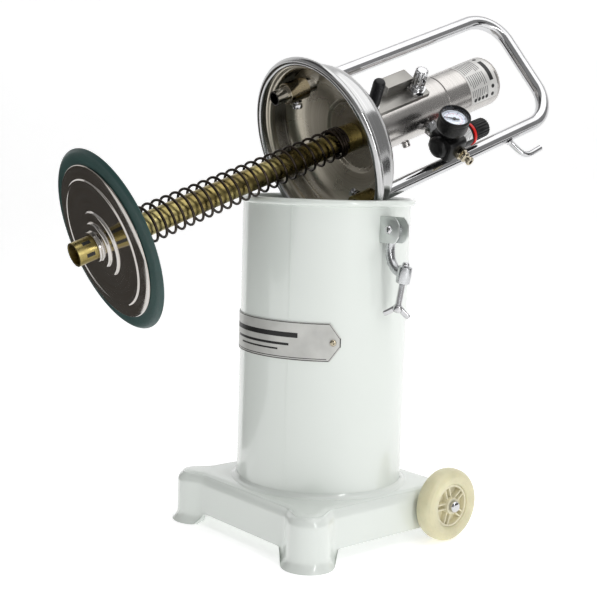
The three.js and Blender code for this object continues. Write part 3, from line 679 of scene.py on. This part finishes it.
def name_plate():
    radius = DRUM_R + 0.4
    face = radius + 0.78

    def edge(sign, inset):
        return lambda t: PLATE_MID + sign * (plate_half(t) - inset)

    def bar(start, end, low, high, steps):
        return patch(face, 0.1, start, end, low, high, steps)

    plate = patch(radius, 0.8, -150, -30, edge(-1, 0), edge(1, 0), 120)
    stand_in("name_plate", [plate], "foil", DRUM, "drum", smooth=60)
    lines = []
    for sign, low, high in ((1, 1.4, 0.5), (-1, 0.5, 1.4)):
        lines.append(bar(-149.2, -30.8, edge(sign, low), edge(sign, high), 120))
    lines.append(bar(-141, -39, PLATE_MID - 20.4, PLATE_MID - 19.6, 60))
    for start in (-150, -30.7):
        lines.append(bar(start, start + 0.7, PLATE_MID - 5.5, PLATE_MID + 5.5, 2))
    for low, high, start, end in ((4, 10, -124, -58), (-6, -3, -118, -64), (-12, -10, -110, -72)):
        lines.append(bar(start, end, PLATE_MID + low, PLATE_MID + high, 40))
    piece("plate_print", lines, "ink_and_hole_shade", DRUM, "drum", smooth=60)


def rivets():
    for name, turn in (("right", -35.0), ("left", -145.0)):
        at = turned(DRUM, turn, PLATE_MID) @ Matrix.Translation((0, 0, DRUM_R + 1.6))
        profile = [(0, 0), (4, 0), (4, 0.9), (3.2, 1.7), (1.6, 2.1), (1.1, 1.4), (0, 1.3)]
        lathe("plate_rivet_" + name, profile, "nickel", at, "drum", segments=40)


# Wheels.

def wheel(name, side):
    at = joint_place(f"wheel_{name}_spin", (0, 0, 1))
    if side < 0:
        at = at @ spin(180, "X")
    body = "wheel_" + name
    half = [(27.2, 10.2), (28.6, 11.4), (31.5, 12.5), (37, 12.8)]
    half += [(41.2, 11.6), (44.2, 8.6), (45.7, 4.6), (46, 0.6)]
    tyre = half + [(r, -z) for r, z in reversed(half)]
    lathe("wheel_tyre_" + name, tyre, "cream", at, body, segments=128, soft=0.8)
    parts = [revolve(softened(plain_ring(24.2, 27, -9.4, 9.4), 0.6), 96)]
    parts.append(revolve(softened([(6.35, -12), (10.4, -12), (11, 0), (10.4, 12), (6.35, 12)], 0.8), 64))
    parts.append(revolve(plain_ring(8, 25, -1.3, 1.3), 96))
    for spoke in range(5):
        for offset in (-3.4, 3.4):
            rib = slab(8.4, 1.0, 0.5, -8.4, 8.4, (17.0, offset), 0.5)
            parts.append(moved(rib, spin(spoke * 72 + 18)))
    stand_in("wheel_hub_" + name, parts, "hub", at, body, smooth=40)
    cap = [(0, 12.5), (7.4, 12.5), (7.6, 14.5), (7.2, 16.4), (5.6, 18.2), (3, 18.9), (0, 19)]
    lathe("axle_cap_" + name, cap, "chrome", at, "drum", segments=48)


def axle():
    at = place(middle("axle"), (1, 0, 0), (0, 0, 1))
    lathe("axle", plain_ring(0, 6, -152, 152), "steel", at, "drum", segments=40)


# Clamps.

def clamp(name, side):
    pivot = JOINTS["clamp_swing_" + name]["pos_m"]
    at = place((0, pivot[1], 0), (0, 0, 1), (side, 0, 0))
    pin_at = place(pivot, (0, -1, 0), (side, 0, 0))
    bracket(name, at)
    pin = [(0, -12), (4.2, -12), (5, -11), (5, -9.1), (3.4, -9.1), (3.4, 9.1), (5.4, 9.1), (5.4, 11.4)]
    pin += [(3.8, 13.6), (0, 14.2)]
    lathe("clamp_pin_" + name, pin, "chrome", pin_at, "drum", segments=40)
    screw_at = joint_place("clamp_screw_turn_" + name, (side, 0, 0))
    eye = revolve(softened(plain_ring(3.7, 7.6, -6, 6), 0.7), 48, at.inverted() @ pin_at)
    threaded = [(4.2, -10), (8.4, -10), (8.8, 0), (8.4, 10), (4.2, 10)]
    boss = revolve(softened(threaded, 0.9), 48, at.inverted() @ screw_at)
    parts = [cast_arm(), eye, boss]
    stand_in("clamp_arm_" + name, parts, "zinc", at, "clamp_" + name, smooth=45)
    screw(name, screw_at)


def bracket(name, at):
    """Two ears with chamfered corners on a foot that follows the drum."""
    low_z, high_z = 377, 408
    outline = [(DRUM_R - 2, low_z), (128.5, low_z), (133, 380), (137, 385.5)]
    outline += [(137, 399.5), (133, 405), (128.5, high_z), (DRUM_R - 2, high_z)]
    parts = []
    for low, high in ((-8.8, -6.4), (6.4, 8.8)):
        rings = []
        for y, inset in ((low, 0.5), (low + 0.4, 0.0), (high - 0.4, 0.0), (high, 0.5)):
            ring = []
            for x, z in outline:
                ring.append((x - (inset if x > 120 else 0), y, z + (inset if z < 390 else -inset)))
            rings.append(ring)
        parts.append(loft(rings))
    foot = []
    for k in range(9):
        a = math.radians(-4.4 + 8.8 * k / 8)
        foot.append([around(r, a, z) for r, z in plain_ring(106.4, 108.6, low_z, high_z)])
    parts.append(loft(foot))
    stand_in("clamp_bracket_" + name, parts, "plated", at, "drum", smooth=30)


def cast_arm():
    """The arm's rounded bar, as (x, z, half width) from its pin to its threaded boss."""
    route = [(122, 393, 7.0), (119.2, 387.5, 6.4), (117.2, 381, 5.6), (116, 374, 5.0), (115.8, 367, 4.8)]
    route += [(117, 359.5, 4.8), (120, 353, 5.0), (124.4, 348, 5.2), (130, 344.4, 5.4), (137, 341.8, 5.4)]
    half_depth = 5.4
    sides = 20
    rings = []
    for i, (x, z, width) in enumerate(route):
        x0, z0, _ = route[max(i - 1, 0)]
        x1, z1, _ = route[min(i + 1, len(route) - 1)]
        length = math.hypot(x1 - x0, z1 - z0)
        nx, nz = (z1 - z0) / length, -(x1 - x0) / length
        ring = []
        for k in range(sides):
            a = 2 * math.pi * k / sides
            across = math.copysign(abs(math.cos(a)) ** 0.7, math.cos(a)) * width
            deep = math.copysign(abs(math.sin(a)) ** 0.7, math.sin(a)) * half_depth
            ring.append((x + across * nx, deep, z + across * nz))
        rings.append(ring)
    return loft(rings)


def screw(name, at):
    """Threaded shank with a small hub, two wings that droop outwards, and its swivel pad."""
    pitch = 1.25
    thread = [(0, -38)]
    for k in range(int(47 / pitch)):
        z = -37.4 + k * pitch
        thread += [(3.45, z), (3.9, z + pitch * 0.5)]
    thread += [(3.4, 9.9), (0, 10.4)]
    hub = softened([(0, -46), (5.0, -46), (6.2, -43.5), (5.6, -39), (4.6, -37.6), (0, -37.6)], 0.6)
    parts = [revolve(thread, 40), revolve(hub, 40)]
    parts += [moved(wing(), spin(turn)) for turn in (45, 225)]
    stand_in("clamp_screw_" + name, parts, "chrome", at, "screw_" + name, smooth=40)
    pad = [(0, 10.8), (4.2, 10.8), (4.4, 12), (4.3, 13.4), (3, 15.1), (0, 15.4)]
    lathe("clamp_pad_" + name, pad, "chrome", at, "pad_" + name, segments=36)


def wing():
    rings = []
    for k in range(9):
        t = k / 8
        reach = 3.0 + 12.2 * t
        drop = -41.6 - 9.6 * t ** 0.9
        tall = 4.0 - 0.6 * t if t < 0.99 else 2.6
        thin = 1.9 - 0.5 * t if t < 0.99 else 0.8
        ring = []
        for m in range(16):
            a = 2 * math.pi * m / 16
            swell = tall * math.cos(a)
            ring.append((reach + 0.55 * swell, thin * math.sin(a), drop + 0.75 * swell))
        rings.append(ring)
    return loft(rings)


# Pump head.

def lid():
    inside = [(TUBE_R + 0.4, 60), (43, 60), (45, 59.2), (47, 57), (50, 56), (60, 53.2), (77, 47.6)]
    inside += [(88, 43.6), (94, 40), (98.6, 35.6), (101, 30.6), (101.6, 26), (101.6, 12.6), (102.4, 9)]
    inside += [(104, 6.6), (106, 5.4), (108, 5.2), (109.4, 4)]
    outside = [(TUBE_R + 0.4, 61.6), (43.6, 61.6), (46.4, 60.4), (48.6, 58.4), (60.5, 54.8), (77.5, 49.2)]
    outside += [(88.6, 45.2), (95, 41.2), (100, 36.4), (102.6, 31), (103.2, 26), (103.2, 13)]
    outside += [(104, 9.8), (105.4, 8.2), (108, 7.8)]
    edge = arc(LID_R - 5.5, 0, 5.5, -200, 100, 30)
    outline = inside + edge + outside[::-1]
    shell = stand_in("lid", [revolve(outline, 160)], "spun", HEAD, "head", smooth=40)
    # The second slot holds the painted shade for the lid's underside.
    shell.data.materials.append(MATERIALS["spun_painted_shade"])
    paint_inside(shell)


def paint_inside(shell):
    """The faces of the lid that look down the pump take a duller, darker and browner copy of the spun steel:
    painted shade on the lid's underside.
    """
    for face in shell.data.polygons:
        rim = (face.center - HEAD_ORIGIN).dot(AXIS)
        if face.normal.dot(AXIS) < -0.15 and rim > 4 * MM:
            face.material_index = 1


def handle():
    half = [(LEG_AT, -14), (LEG_AT, 4), (LEG_AT, 60), (LEG_AT, 200)]
    half += arc(LEG_AT - HANDLE_BEND, HANDLE_TOP - HANDLE_BEND, HANDLE_BEND, 0, 90, 18)
    path = half + [(-x, z) for x, z in reversed(half)]
    tube = sweep(*planar(path), LEG_R, 40, LEG_R - 1.8)
    stand_in("handle_tube", [tube], "chrome", HANDLE, "head", smooth=60)
    route = [(94.0, 276.4), (100, 278.2), (107, 280.6), (112.4, 283), (116.4, 285.6), (119, 289)]
    route += [(120.4, 293.2), (120.6, 299), (120.2, 306), (119.6, 315), (119.5, 317)]
    hook = sweep(*planar(route), 4.1, 24)
    weld_at = Matrix.Translation((93.2, 0, 276)) @ spin(74, "Y")
    weld = revolve([(0, 0), (6.2, 0), (5.6, 1.2), (4.2, 2.6), (3.3, 4.4), (0, 4.6)], 32, weld_at)
    stand_in("hose_hook", [hook, weld], "chrome", HANDLE, "head", smooth=50)


def sleeves():
    plan = (("upper", HANDLE_TURN + 180, 102, "nickel"), ("lower", HANDLE_TURN, 215, "yellow"))
    for name, turn, bolt_turn, finish in plan:
        at = HEAD @ spin(turn) @ Matrix.Translation((LEG_AT, 0, 0))
        profile = plain_ring(LEG_R + 0.2, 13.8, 4, 34)
        lathe("leg_sleeve_" + name, profile, finish, at, "head", segments=64, soft=0.8)
        bolt_at = turned(at, bolt_turn - turn, 20)
        shank = revolve(plain_ring(0, 3, LEG_R + 0.3, 18.2), 24)
        washer = revolve(softened(plain_ring(3, 6.6, 14.2, 15.4), 0.3), 40)
        parts = [shank, washer, hexagon(6.4, 18, 23.2)]
        stand_in("sleeve_bolt_" + name, parts, "chrome", bolt_at, "head")


def pump():
    lathe("pump_tube", plain_ring(11.6, TUBE_R, TUBE_TIP, 61.6), "yellow", HEAD, "head", soft=0.4)
    # The intake slots are thin black patches, not cut through: painted shade for the openings.
    slots = []
    half = math.degrees(2.3 / TUBE_R)
    for turn in range(15, 360, 60):
        slots.append(patch(TUBE_R - 0.02, 0.06, turn - half, turn + half, TUBE_TIP + 9, TUBE_TIP + 19, 4))
    piece("intake_slots", slots, "ink_and_hole_shade", HEAD, "head", smooth=80)
    collar = [(TUBE_R + 0.2, 39), (16.6, 39), (17.6, 39.8), (18, 41), (18, 59.6), (TUBE_R + 0.2, 59.6)]
    lathe("tube_collar", collar, "yellow", HEAD, "head", soft=0.4)


def coil_rise(t):
    """Share of the spring's length at a share of its turns: it opens towards the lid, then closes up."""
    split = SPRING_OPEN_TURNS / SPRING_TURNS
    closed = 0.033
    if t < split:
        u = t / split
        return (1 - closed) * (0.85 * u + 0.15 * u * u)
    return 1 - closed * (1 - t) / (1 - split)


def spring():
    low = FOLLOWER_S + 9.6
    high = 37.0
    steps = SPRING_TURNS * 36
    path = []
    normals = []
    for i in range(steps + 1):
        t = i / steps
        a = t * SPRING_TURNS * 2 * math.pi
        out = Vector((math.cos(a), math.sin(a), 0))
        rise = Vector((0, 0, low + (high - low) * coil_rise(t)))
        path.append(out * (SPRING_R - SPRING_TAPER * t) + rise)
        normals.append(out)
    coil = sweep(path, normals, WIRE_R, 12)
    obj = stand_in("follower_spring", [coil], "wire", HEAD, "head", smooth=60)
    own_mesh(obj)


def follower():
    """Plate, seal and back plate: outlines with heights above the plate's middle."""
    bore = TUBE_R + 0.4
    plate = [(bore, 0), (bore, -14), (17.4, -14), (17.8, -12.4), (17.8, -9.4), (25, -8.6), (26.4, -7.6)]
    plate += [(26.8, -5.4), (36, -5), (37.6, -4.2), (38.4, -2.4), (71.6, -2), (72.6, -2.8), (73.6, -3.1)]
    plate += [(74.6, -2.7), (75.8, -1.8), (84, -0.6), (90.4, 0.9), (91, 1.8), (90.6, 2.8), (77, -0.2)]
    bore = TUBE_R + 0.6
    lip = [(bore, 0.5), (75, 0.5), (90.5, 3.3), (99, 3.6), (104.4, 5), (107.4, 7.2), (107.8, 8.6)]
    lip += [(106.8, 9.6), (103, 8.8), (97, 7.6), (88, 7), (74, 4.4), (bore, 4.4)]
    bore = TUBE_R + 0.5
    back = [(bore, 4.8), (44, 4.8), (44, 6), (42, 7), (bore, 7.4)]
    plan = [("plate", plate, "mirror", 160, 0.6), ("seal", lip, "seal", 160, 0.8)]
    plan.append(("back_plate", back, "steel", 96, 0.5))
    for name, outline, material, segments, soft in plan:
        profile = [(r, FOLLOWER_S + z) for r, z in outline]
        lathe("follower_" + name, profile, material, HEAD, "follower", segments, soft)


# Air motor.

def motor():
    bore = 30.9
    casing = [(5.6, 62.2), (MOTOR_R - 1.2, 62.2), (MOTOR_R, 63.4), (MOTOR_R, 198.6), (33.2, 199.7)]
    casing += [(bore, 199.7), (bore, 72), (5.6, 72)]
    lathe("motor_casing", casing, "motor", HEAD, "head", segments=128, soft=0.4)
    upper = [(bore, 200.3), (32.9, 200.3), (33.5, 201.2), (33.6, 288)]
    upper += arc(MOTOR_R - 10.4, MOTOR_END - 10, 10, 4, 90, 12)[:-1]
    upper += [(20, 299.9), (0, 300), (0, 296), (27.5, 296), (bore, 291)]
    lathe("motor_cylinder", upper, "motor", HEAD, "head", segments=128, soft=0)
    plug = revolve([(0, 299.6), (4.8, 299.6), (4.6, 301.6), (3.4, 303.2), (0, 303.6)], 32)
    piece("end_plug", [plug], "steel", HEAD @ Matrix.Translation((15.6, -8.4, 0)), "head")
    valve_block()
    motor_label()


def valve_block():
    """Its x is across the fittings, its y is along the motor, and its z points out of the flat."""
    across = HEAD @ spin(90 + FITTING_TURN) @ spin(90, "X")
    pad = slab(11, 53, 3, 28, PORT_FLAT, (1.0, 119.0), 0.6)
    chest = slab(9.75, 22.25, 1.4, 22, 52, (-18.25, 133.25), 0.7)
    stand_in("valve_block", [pad, chest], "machined", across, "head", smooth=30)


def motor_label():
    """A foil label with grey bars for print and round marks that stand for nothing."""
    sheet = patch(LABEL_R, 0.3, -88, 34, 239, 289, 60)
    piece("motor_label", [sheet], "label", HEAD, "head", smooth=60)
    face = LABEL_R + 0.28
    lines = []
    for row in range(9):
        s = 242.0 + row * 3.4
        for k, (start, end) in enumerate(((-78, -40), (-36, -4), (0, 22))):
            trim = (row * 7 + k * 5) % 6 * 1.6
            lines.append(patch(face, 0.08, start, end - trim, s, s + 1.2, 20))
    piece("label_lines", lines, "grey_ink", HEAD, "head", smooth=60)
    marks = [patch(face, 0.07, -62, -8, 277.0, 283.5, 20)]
    spots = [(-76, 280.0), (6, 280.0)] + [(24, s) for s in (247.0, 254.0, 261.0, 268.0, 279.0)]
    for turn, s in spots:
        marks.append(revolve(plain_ring(0, 2.7, face, face + 0.08), 24, turned(Matrix(), turn, s)))
    piece("label_marks", marks, "ink_and_hole_shade", HEAD, "head", smooth=60)


def fittings():
    outlet = turned(HEAD, FITTING_TURN, OUTLET_S)
    low = PORT_FLAT + 0.1
    spigot = revolve(softened(plain_ring(0, 5.6, 45, 60), 0.5), 40)
    neck = revolve(plain_ring(0, 7.4, 42.2, 43.4), 40)
    parts = [hexagon(9.8, low, 42.4), neck, hexagon(8.8, 43.2, 47.4), spigot]
    stand_in("outlet_fitting", parts, "chrome", outlet, "head")
    cap = [(5.8, 48.2), (8.0, 48.2), (8.15, 50), (8.0, 52), (7.9, 78), (7.4, 81), (6, 82.9), (3.6, 83.6)]
    cap += [(0, 83.8), (0, 79.4), (5.8, 78)]
    lathe("outlet_cap", cap, "vinyl", outlet, "outlet_cover", segments=64)
    vent = turned(HEAD, FITTING_TURN, VENT_S)
    ring = revolve(softened([(0, 42.8), (9.6, 42.8), (9.2, 46.4), (6, 48.4), (0, 48.4)], 0.6), 64)
    stand_in("vent_body", [hexagon(13.0, low, 43.0), ring], "chrome", vent, "head")
    knob = fluted(9.2, 0.9, 12, 48.9, 72, 0.8, 1.8)
    stand_in("vent_knob", [knob], "chrome", vent, "vent_handle", smooth=50)
    drain = [(0, 34), (5.6, 34), (5.4, 40.4), (4.4, 41.5), (0, 41.6)]
    lathe("drain_plug", drain, "motor", turned(HEAD, DRAIN_TURN, DRAIN_S), "head", segments=48)


def regulator():
    regulator_body()
    lathe("regulator_ring", plain_ring(4.7, 15.8, 33.5, 37), "red", REG, "head", segments=80)
    collar = revolve(softened(plain_ring(7, 12.4, 40.3, 41), 0.2), 64)
    knob = [fluted(13.4, 0.7, 22, 40.6, 65, 0.7, 1.6), collar]
    stand_in("regulator_knob", knob, "black", REG, "knob", smooth=45)
    sticker = patch(15.25, 0.12, -84, -20, 15, 29, 16)
    piece("regulator_sticker", [sticker], "sticker", REG, "head", smooth=60)
    marks = [patch(15.36, 0.05, -80, -24 - k % 3 * 6, 16.4 + k * 2.1, 17.2 + k * 2.1, 12) for k in range(6)]
    piece("sticker_lines", marks, "grey_ink", REG, "head", smooth=60)
    flow = REG @ spin(90, "Y")
    reach = 70.5
    neck = revolve(plain_ring(0, 6.4, MOTOR_R - reach, -19.6), 40)
    nut = hexagon(11.4, MOTOR_R + 2.2 - reach, MOTOR_R + 14.2 - reach)
    stand_in("inlet_adapter", [neck, nut], "chrome", flow, "head")
    nipple(flow)


def regulator_body():
    levels = ((-17, 3.4), (-16.2, 1.2), (-14, 0.0), (9, 0.0), (12.6, 1.4), (15, 4.4))
    core = loft([rounded_ring(19.4 - i, 15 - i * 0.6, 5, z) for z, i in levels])
    ribs = [slab(1.2, 15.6, 0.5, -13, 9, (x, 0.0), 0.4) for x in (-9.5, 9.5)]
    cup = [(0, -25), (8.6, -25), (12.6, -23.4), (14.4, -20), (14.6, -12), (0, -12)]
    cup = revolve(softened(cup, 1.0), 64)
    bonnet = [(4.7, 10), (15, 10), (15.3, 13), (15.1, 30.5), (14.6, 32.9), (4.7, 33)]
    port_at = Matrix.Translation((0, 0, -4)) @ spin(90, "X")
    port = revolve(softened(plain_ring(0, 9.4, 12, 17.6), 0.6), 48, port_at)
    button = [(0, 14.4), (7.4, 14.4), (7.2, 16.4), (5.2, 17.2), (0, 17.2)]
    button = revolve(softened(button, 0.6), 48, turned(Matrix(), 90, -4))
    parts = [core, *ribs, cup, revolve(softened(bonnet, 0.8), 80), port, button]
    stand_in("regulator_body", parts, "black", REG, "head", smooth=35)


def nipple(flow):
    start = 19.4
    nut = hexagon(8.6, start + 0.4, start + 7.2)
    plug = [(2.8, 7), (5.4, 7), (5.6, 9.6), (6.9, 10.6), (6.9, 13.8), (5, 15.2), (4.6, 16), (4.6, 18)]
    plug += [(5.9, 19.4), (5.9, 21.8), (5.2, 23), (2.8, 23)]
    barrel = revolve(softened([(r, start + z) for r, z in plug], 0.4), 56)
    stand_in("inlet_nipple", [nut, barrel], "nickel", flow, "head")
    # A black disc down the nipple's bore: painted shade for the depth of the hole.
    bore = revolve(plain_ring(0, 2.9, start + 12, start + 12.4), 24)
    piece("nipple_bore", [bore], "ink_and_hole_shade", flow, "head")


def gauge():
    case = [(0, -30), (6, -30), (6, -25), (9, -24.2), (16, -24), (19, -22.4), (20, -19), (20.1, -6.4)]
    case += [(19.7, -6), (19.7, -5.2), (20.5, -4.6), (20.5, -1.4), (19.9, -0.3), (18.9, 0), (17.8, -0.5)]
    case += [(17.5, -2.4), (17.5, -8.6), (0, -8.6)]
    lathe("gauge_case", case, "black", GAUGE, "head", soft=0.3)
    lathe("gauge_dial", plain_ring(0, 17.3, -8.3, -7.5), "dial", GAUGE, "head")
    lens = [(0, -3.2), (17.4, -3.2), (17.4, -2.4), (0, -2.2)]
    lathe("gauge_window", lens, "lens", GAUGE, "head").visible_shadow = False
    outer = []
    inner = []
    for k in range(51):
        turn = math.radians(DIAL_START - DIAL_SWEEP * k / 50)
        length, half = (1.3, 0.16) if k % 10 else (2.4, 0.3)
        outer.append(tick(turn, 15.2 - length, 15.2, half))
        if k % 5 == 0:
            inner.append(tick(turn, 8.6, 10.2, 0.2))
    piece("dial_ticks", outer, "ink_and_hole_shade", GAUGE, "head")
    piece("dial_red_ticks", inner + [dial_band()], "red_ink", GAUGE, "head")
    digits()
    pointer()


def tick(turn, start, end, half):
    c, s = math.cos(turn), math.sin(turn)
    ring = [(r * c - w * s, r * s + w * c) for r, w in plain_ring(start, end, -half, half)]
    return loft([[(x, y, z) for x, y in ring] for z in (DIAL_MARK_Z, DIAL_MARK_Z + 0.06)])


def dial_band():
    rings = []
    steps = 60
    for k in range(steps + 1):
        a = math.radians(DIAL_START - DIAL_SWEEP * k / steps)
        rings.append([around(r, a, z) for r, z in plain_ring(10.6, 10.9, DIAL_MARK_Z, DIAL_MARK_Z + 0.06)])
    return loft(rings)


def digits():
    """Plain scale numbers 0 to 10 round the dial."""
    for k in range(6):
        name = f"dial_number_{k}"
        curve = bpy.data.curves.new(name, "FONT")
        curve.body = str(k * 2)
        curve.size = 3.0 * MM
        curve.extrude = 0.02 * MM
        curve.align_x = "CENTER"
        curve.align_y = "CENTER"
        curve.materials.append(MATERIALS["blue_ink"])
        spot = GAUGE @ Vector(around(12.2, math.radians(DIAL_START - DIAL_SWEEP / 5 * k), -7.42))
        number = add(name, curve)
        number.matrix_world = Matrix.Translation(spot) @ GAUGE.to_quaternion().to_matrix().to_4x4()
        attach(number, "head")


def pointer():
    half = [(-6.5, 1.2), (-2, 1.0), (0, 1.1), (13.5, 0.25)]
    outline = [(x, -y) for x, y in half] + half[::-1]
    blade = loft([[(x, y, z) for x, y in outline] for z in (-6.4, -5.9)])
    boss = revolve(softened([(0, -6.8), (2.1, -6.8), (2.1, -5.4), (0, -5.2)], 0.3), 32)
    stand_in("gauge_needle", [blade, boss], "ink_and_hole_shade", GAUGE @ spin(-135), "needle")


# Inner CAD pieces keep their solids.

def inner_finishes():
    plan = {
        "air_piston": "motor",
        "piston_ring": "rubber",
        "piston_rod": "steel",
        "rod_packing": "rubber",
        "plunger": "brass",
        "foot_valve_seat": "steel",
        "foot_valve_ball": "steel",
        "regulator_spindle": "steel",
    }
    for node, material in plan.items():
        obj = frame["nodes"][node]
        if not obj.material_slots:
            obj.data.materials.append(MATERIALS[material])
        for slot in obj.material_slots:
            slot.material = MATERIALS[material]


# Stage.

def camera():
    centre = Vector((0, DRUM_CENTRE.y, 0))
    at = Vector(CAMERA_AT) * MM + centre
    ahead = (Vector(CAMERA_AIM) * MM + centre - at).normalized()
    right = ahead.cross(Vector((0, 0, 1))).normalized()
    up = right.cross(ahead)

    def swing(a, b, degrees):
        t = math.radians(degrees)
        return a * math.cos(t) + b * math.sin(t), b * math.cos(t) - a * math.sin(t)

    ahead, right = swing(ahead, right, CAMERA_PAN)
    ahead, up = swing(ahead, up, CAMERA_TILT)
    right, up = swing(right, up, CAMERA_ROLL)
    data = bpy.data.cameras.new("camera")
    data.lens = CAMERA_LENS
    data.sensor_width = 36.0
    data.sensor_fit = "HORIZONTAL"
    data.clip_start = 0.01
    obj = add("camera", data)
    obj.matrix_world = Matrix.Translation(at) @ Matrix((right, up, -ahead)).transposed().to_4x4()
    bpy.context.scene.camera = obj


def facing(obj, at, aim, track):
    obj.location = at
    obj.rotation_euler = (Vector(aim) - Vector(at)).to_track_quat(track, "Y").to_euler()


def softbox(name, at, aim, width, height, power):
    data = bpy.data.lights.new(name, "AREA")
    data.shape = "RECTANGLE"
    data.size = width
    data.size_y = height
    data.energy = power
    facing(add(name, data), at, aim, "-Z")


def card(name, at, aim, width, height, color):
    """A dull card that only reflections see, as a photographer flags chrome with."""
    mesh = bpy.data.meshes.new(name)
    w, h = width / 2, height / 2
    mesh.from_pydata([(-w, -h, 0), (w, -h, 0), (w, h, 0), (-w, h, 0)], [], [(0, 1, 2, 3)])
    obj = add(name, mesh)
    facing(obj, at, aim, "Z")
    paint = Paint(name, color, roughness=1.0)
    paint.color(paint.noise(2), [(0.3, color), (0.7, tuple(value * 1.3 for value in color))])
    mesh.materials.append(paint.mat)
    obj.visible_camera = False
    obj.visible_shadow = False
    obj.visible_diffuse = False


def cyclorama():
    """A pale floor that curves up into the wall behind, and glows a little as a light tent does."""
    half = 9.0
    bend = 1.2
    wall = 3.2
    outline = [(-6.0, 0.0), (wall - bend, 0.0)]
    outline += arc(wall - bend, bend, bend, -90, 0, 12)[1:]
    outline.append((wall, 7.0))
    points = [spin(CYCLORAMA_TURN) @ Vector((x, y, z)) for y, z in outline for x in (-half, half)]
    faces = [(2 * k, 2 * k + 1, 2 * k + 3, 2 * k + 2) for k in range(len(outline) - 1)]
    mesh = bpy.data.meshes.new("cyclorama")
    mesh.from_pydata(points, [], faces)
    mesh.shade_smooth()
    paint = Paint("cyclorama", (0.9, 0.9, 0.9), roughness=0.9, Emission_Strength=FLOOR_GLOW)
    paint.bsdf.inputs["Emission Color"].default_value = (1, 1, 1, 1)
    paint.color(paint.noise(1.5, 2), [(0.3, (0.89, 0.89, 0.89)), (0.7, (0.92, 0.92, 0.92))])
    mesh.materials.append(paint.mat)
    add("cyclorama", mesh)


def light():
    scene = bpy.context.scene
    scene.view_settings.view_transform = "Standard"
    scene.view_settings.look = "None"
    world = bpy.data.worlds.new("studio")
    world.use_nodes = True
    background = world.node_tree.nodes["Background"]
    background.inputs["Color"].default_value = (1.0, 1.0, 1.0, 1)
    background.inputs["Strength"].default_value = 0.3
    scene.world = world
    softbox("key", (1.6, -0.2, 0.8), (0, 0, 0.25), 0.16, 1.3, 6)
    softbox("top", (0.6, 0.3, 2.3), (0, 0, 0.3), 2.2, 2.2, 22)
    card("flag_plate", (-0.45, -0.41, 0.21), (-0.03, -0.33, 0.36), 0.6, 0.5, (0.05, 0.045, 0.04))
    card("flag_front", (-0.2, -2.3, 0.9), (0, 0, 0.4), 1.6, 1.0, (0.05, 0.045, 0.04))
    card("flag_right", (2.4, 0.9, 0.5), (0, 0, 0.4), 0.8, 1.2, (0.04, 0.04, 0.04))
    card("flag_low", (0.9, 0.9, 0.06), (0.1, 0.2, 0.6), 0.8, 0.5, (0.05, 0.05, 0.05))
    card("flag_high", (-0.5, -0.7, 1.9), (0, 0.1, 0.5), 1.4, 1.0, (0.06, 0.06, 0.06))


camera()
cyclorama()
light()
drum()
base()
name_plate()
rivets()
axle()
for side_name, side_sign in (("right", 1), ("left", -1)):
    wheel(side_name, side_sign)
    clamp(side_name, side_sign)
lid()
handle()
sleeves()
pump()
spring()
follower()
motor()
fittings()
regulator()
gauge()
inner_finishes()
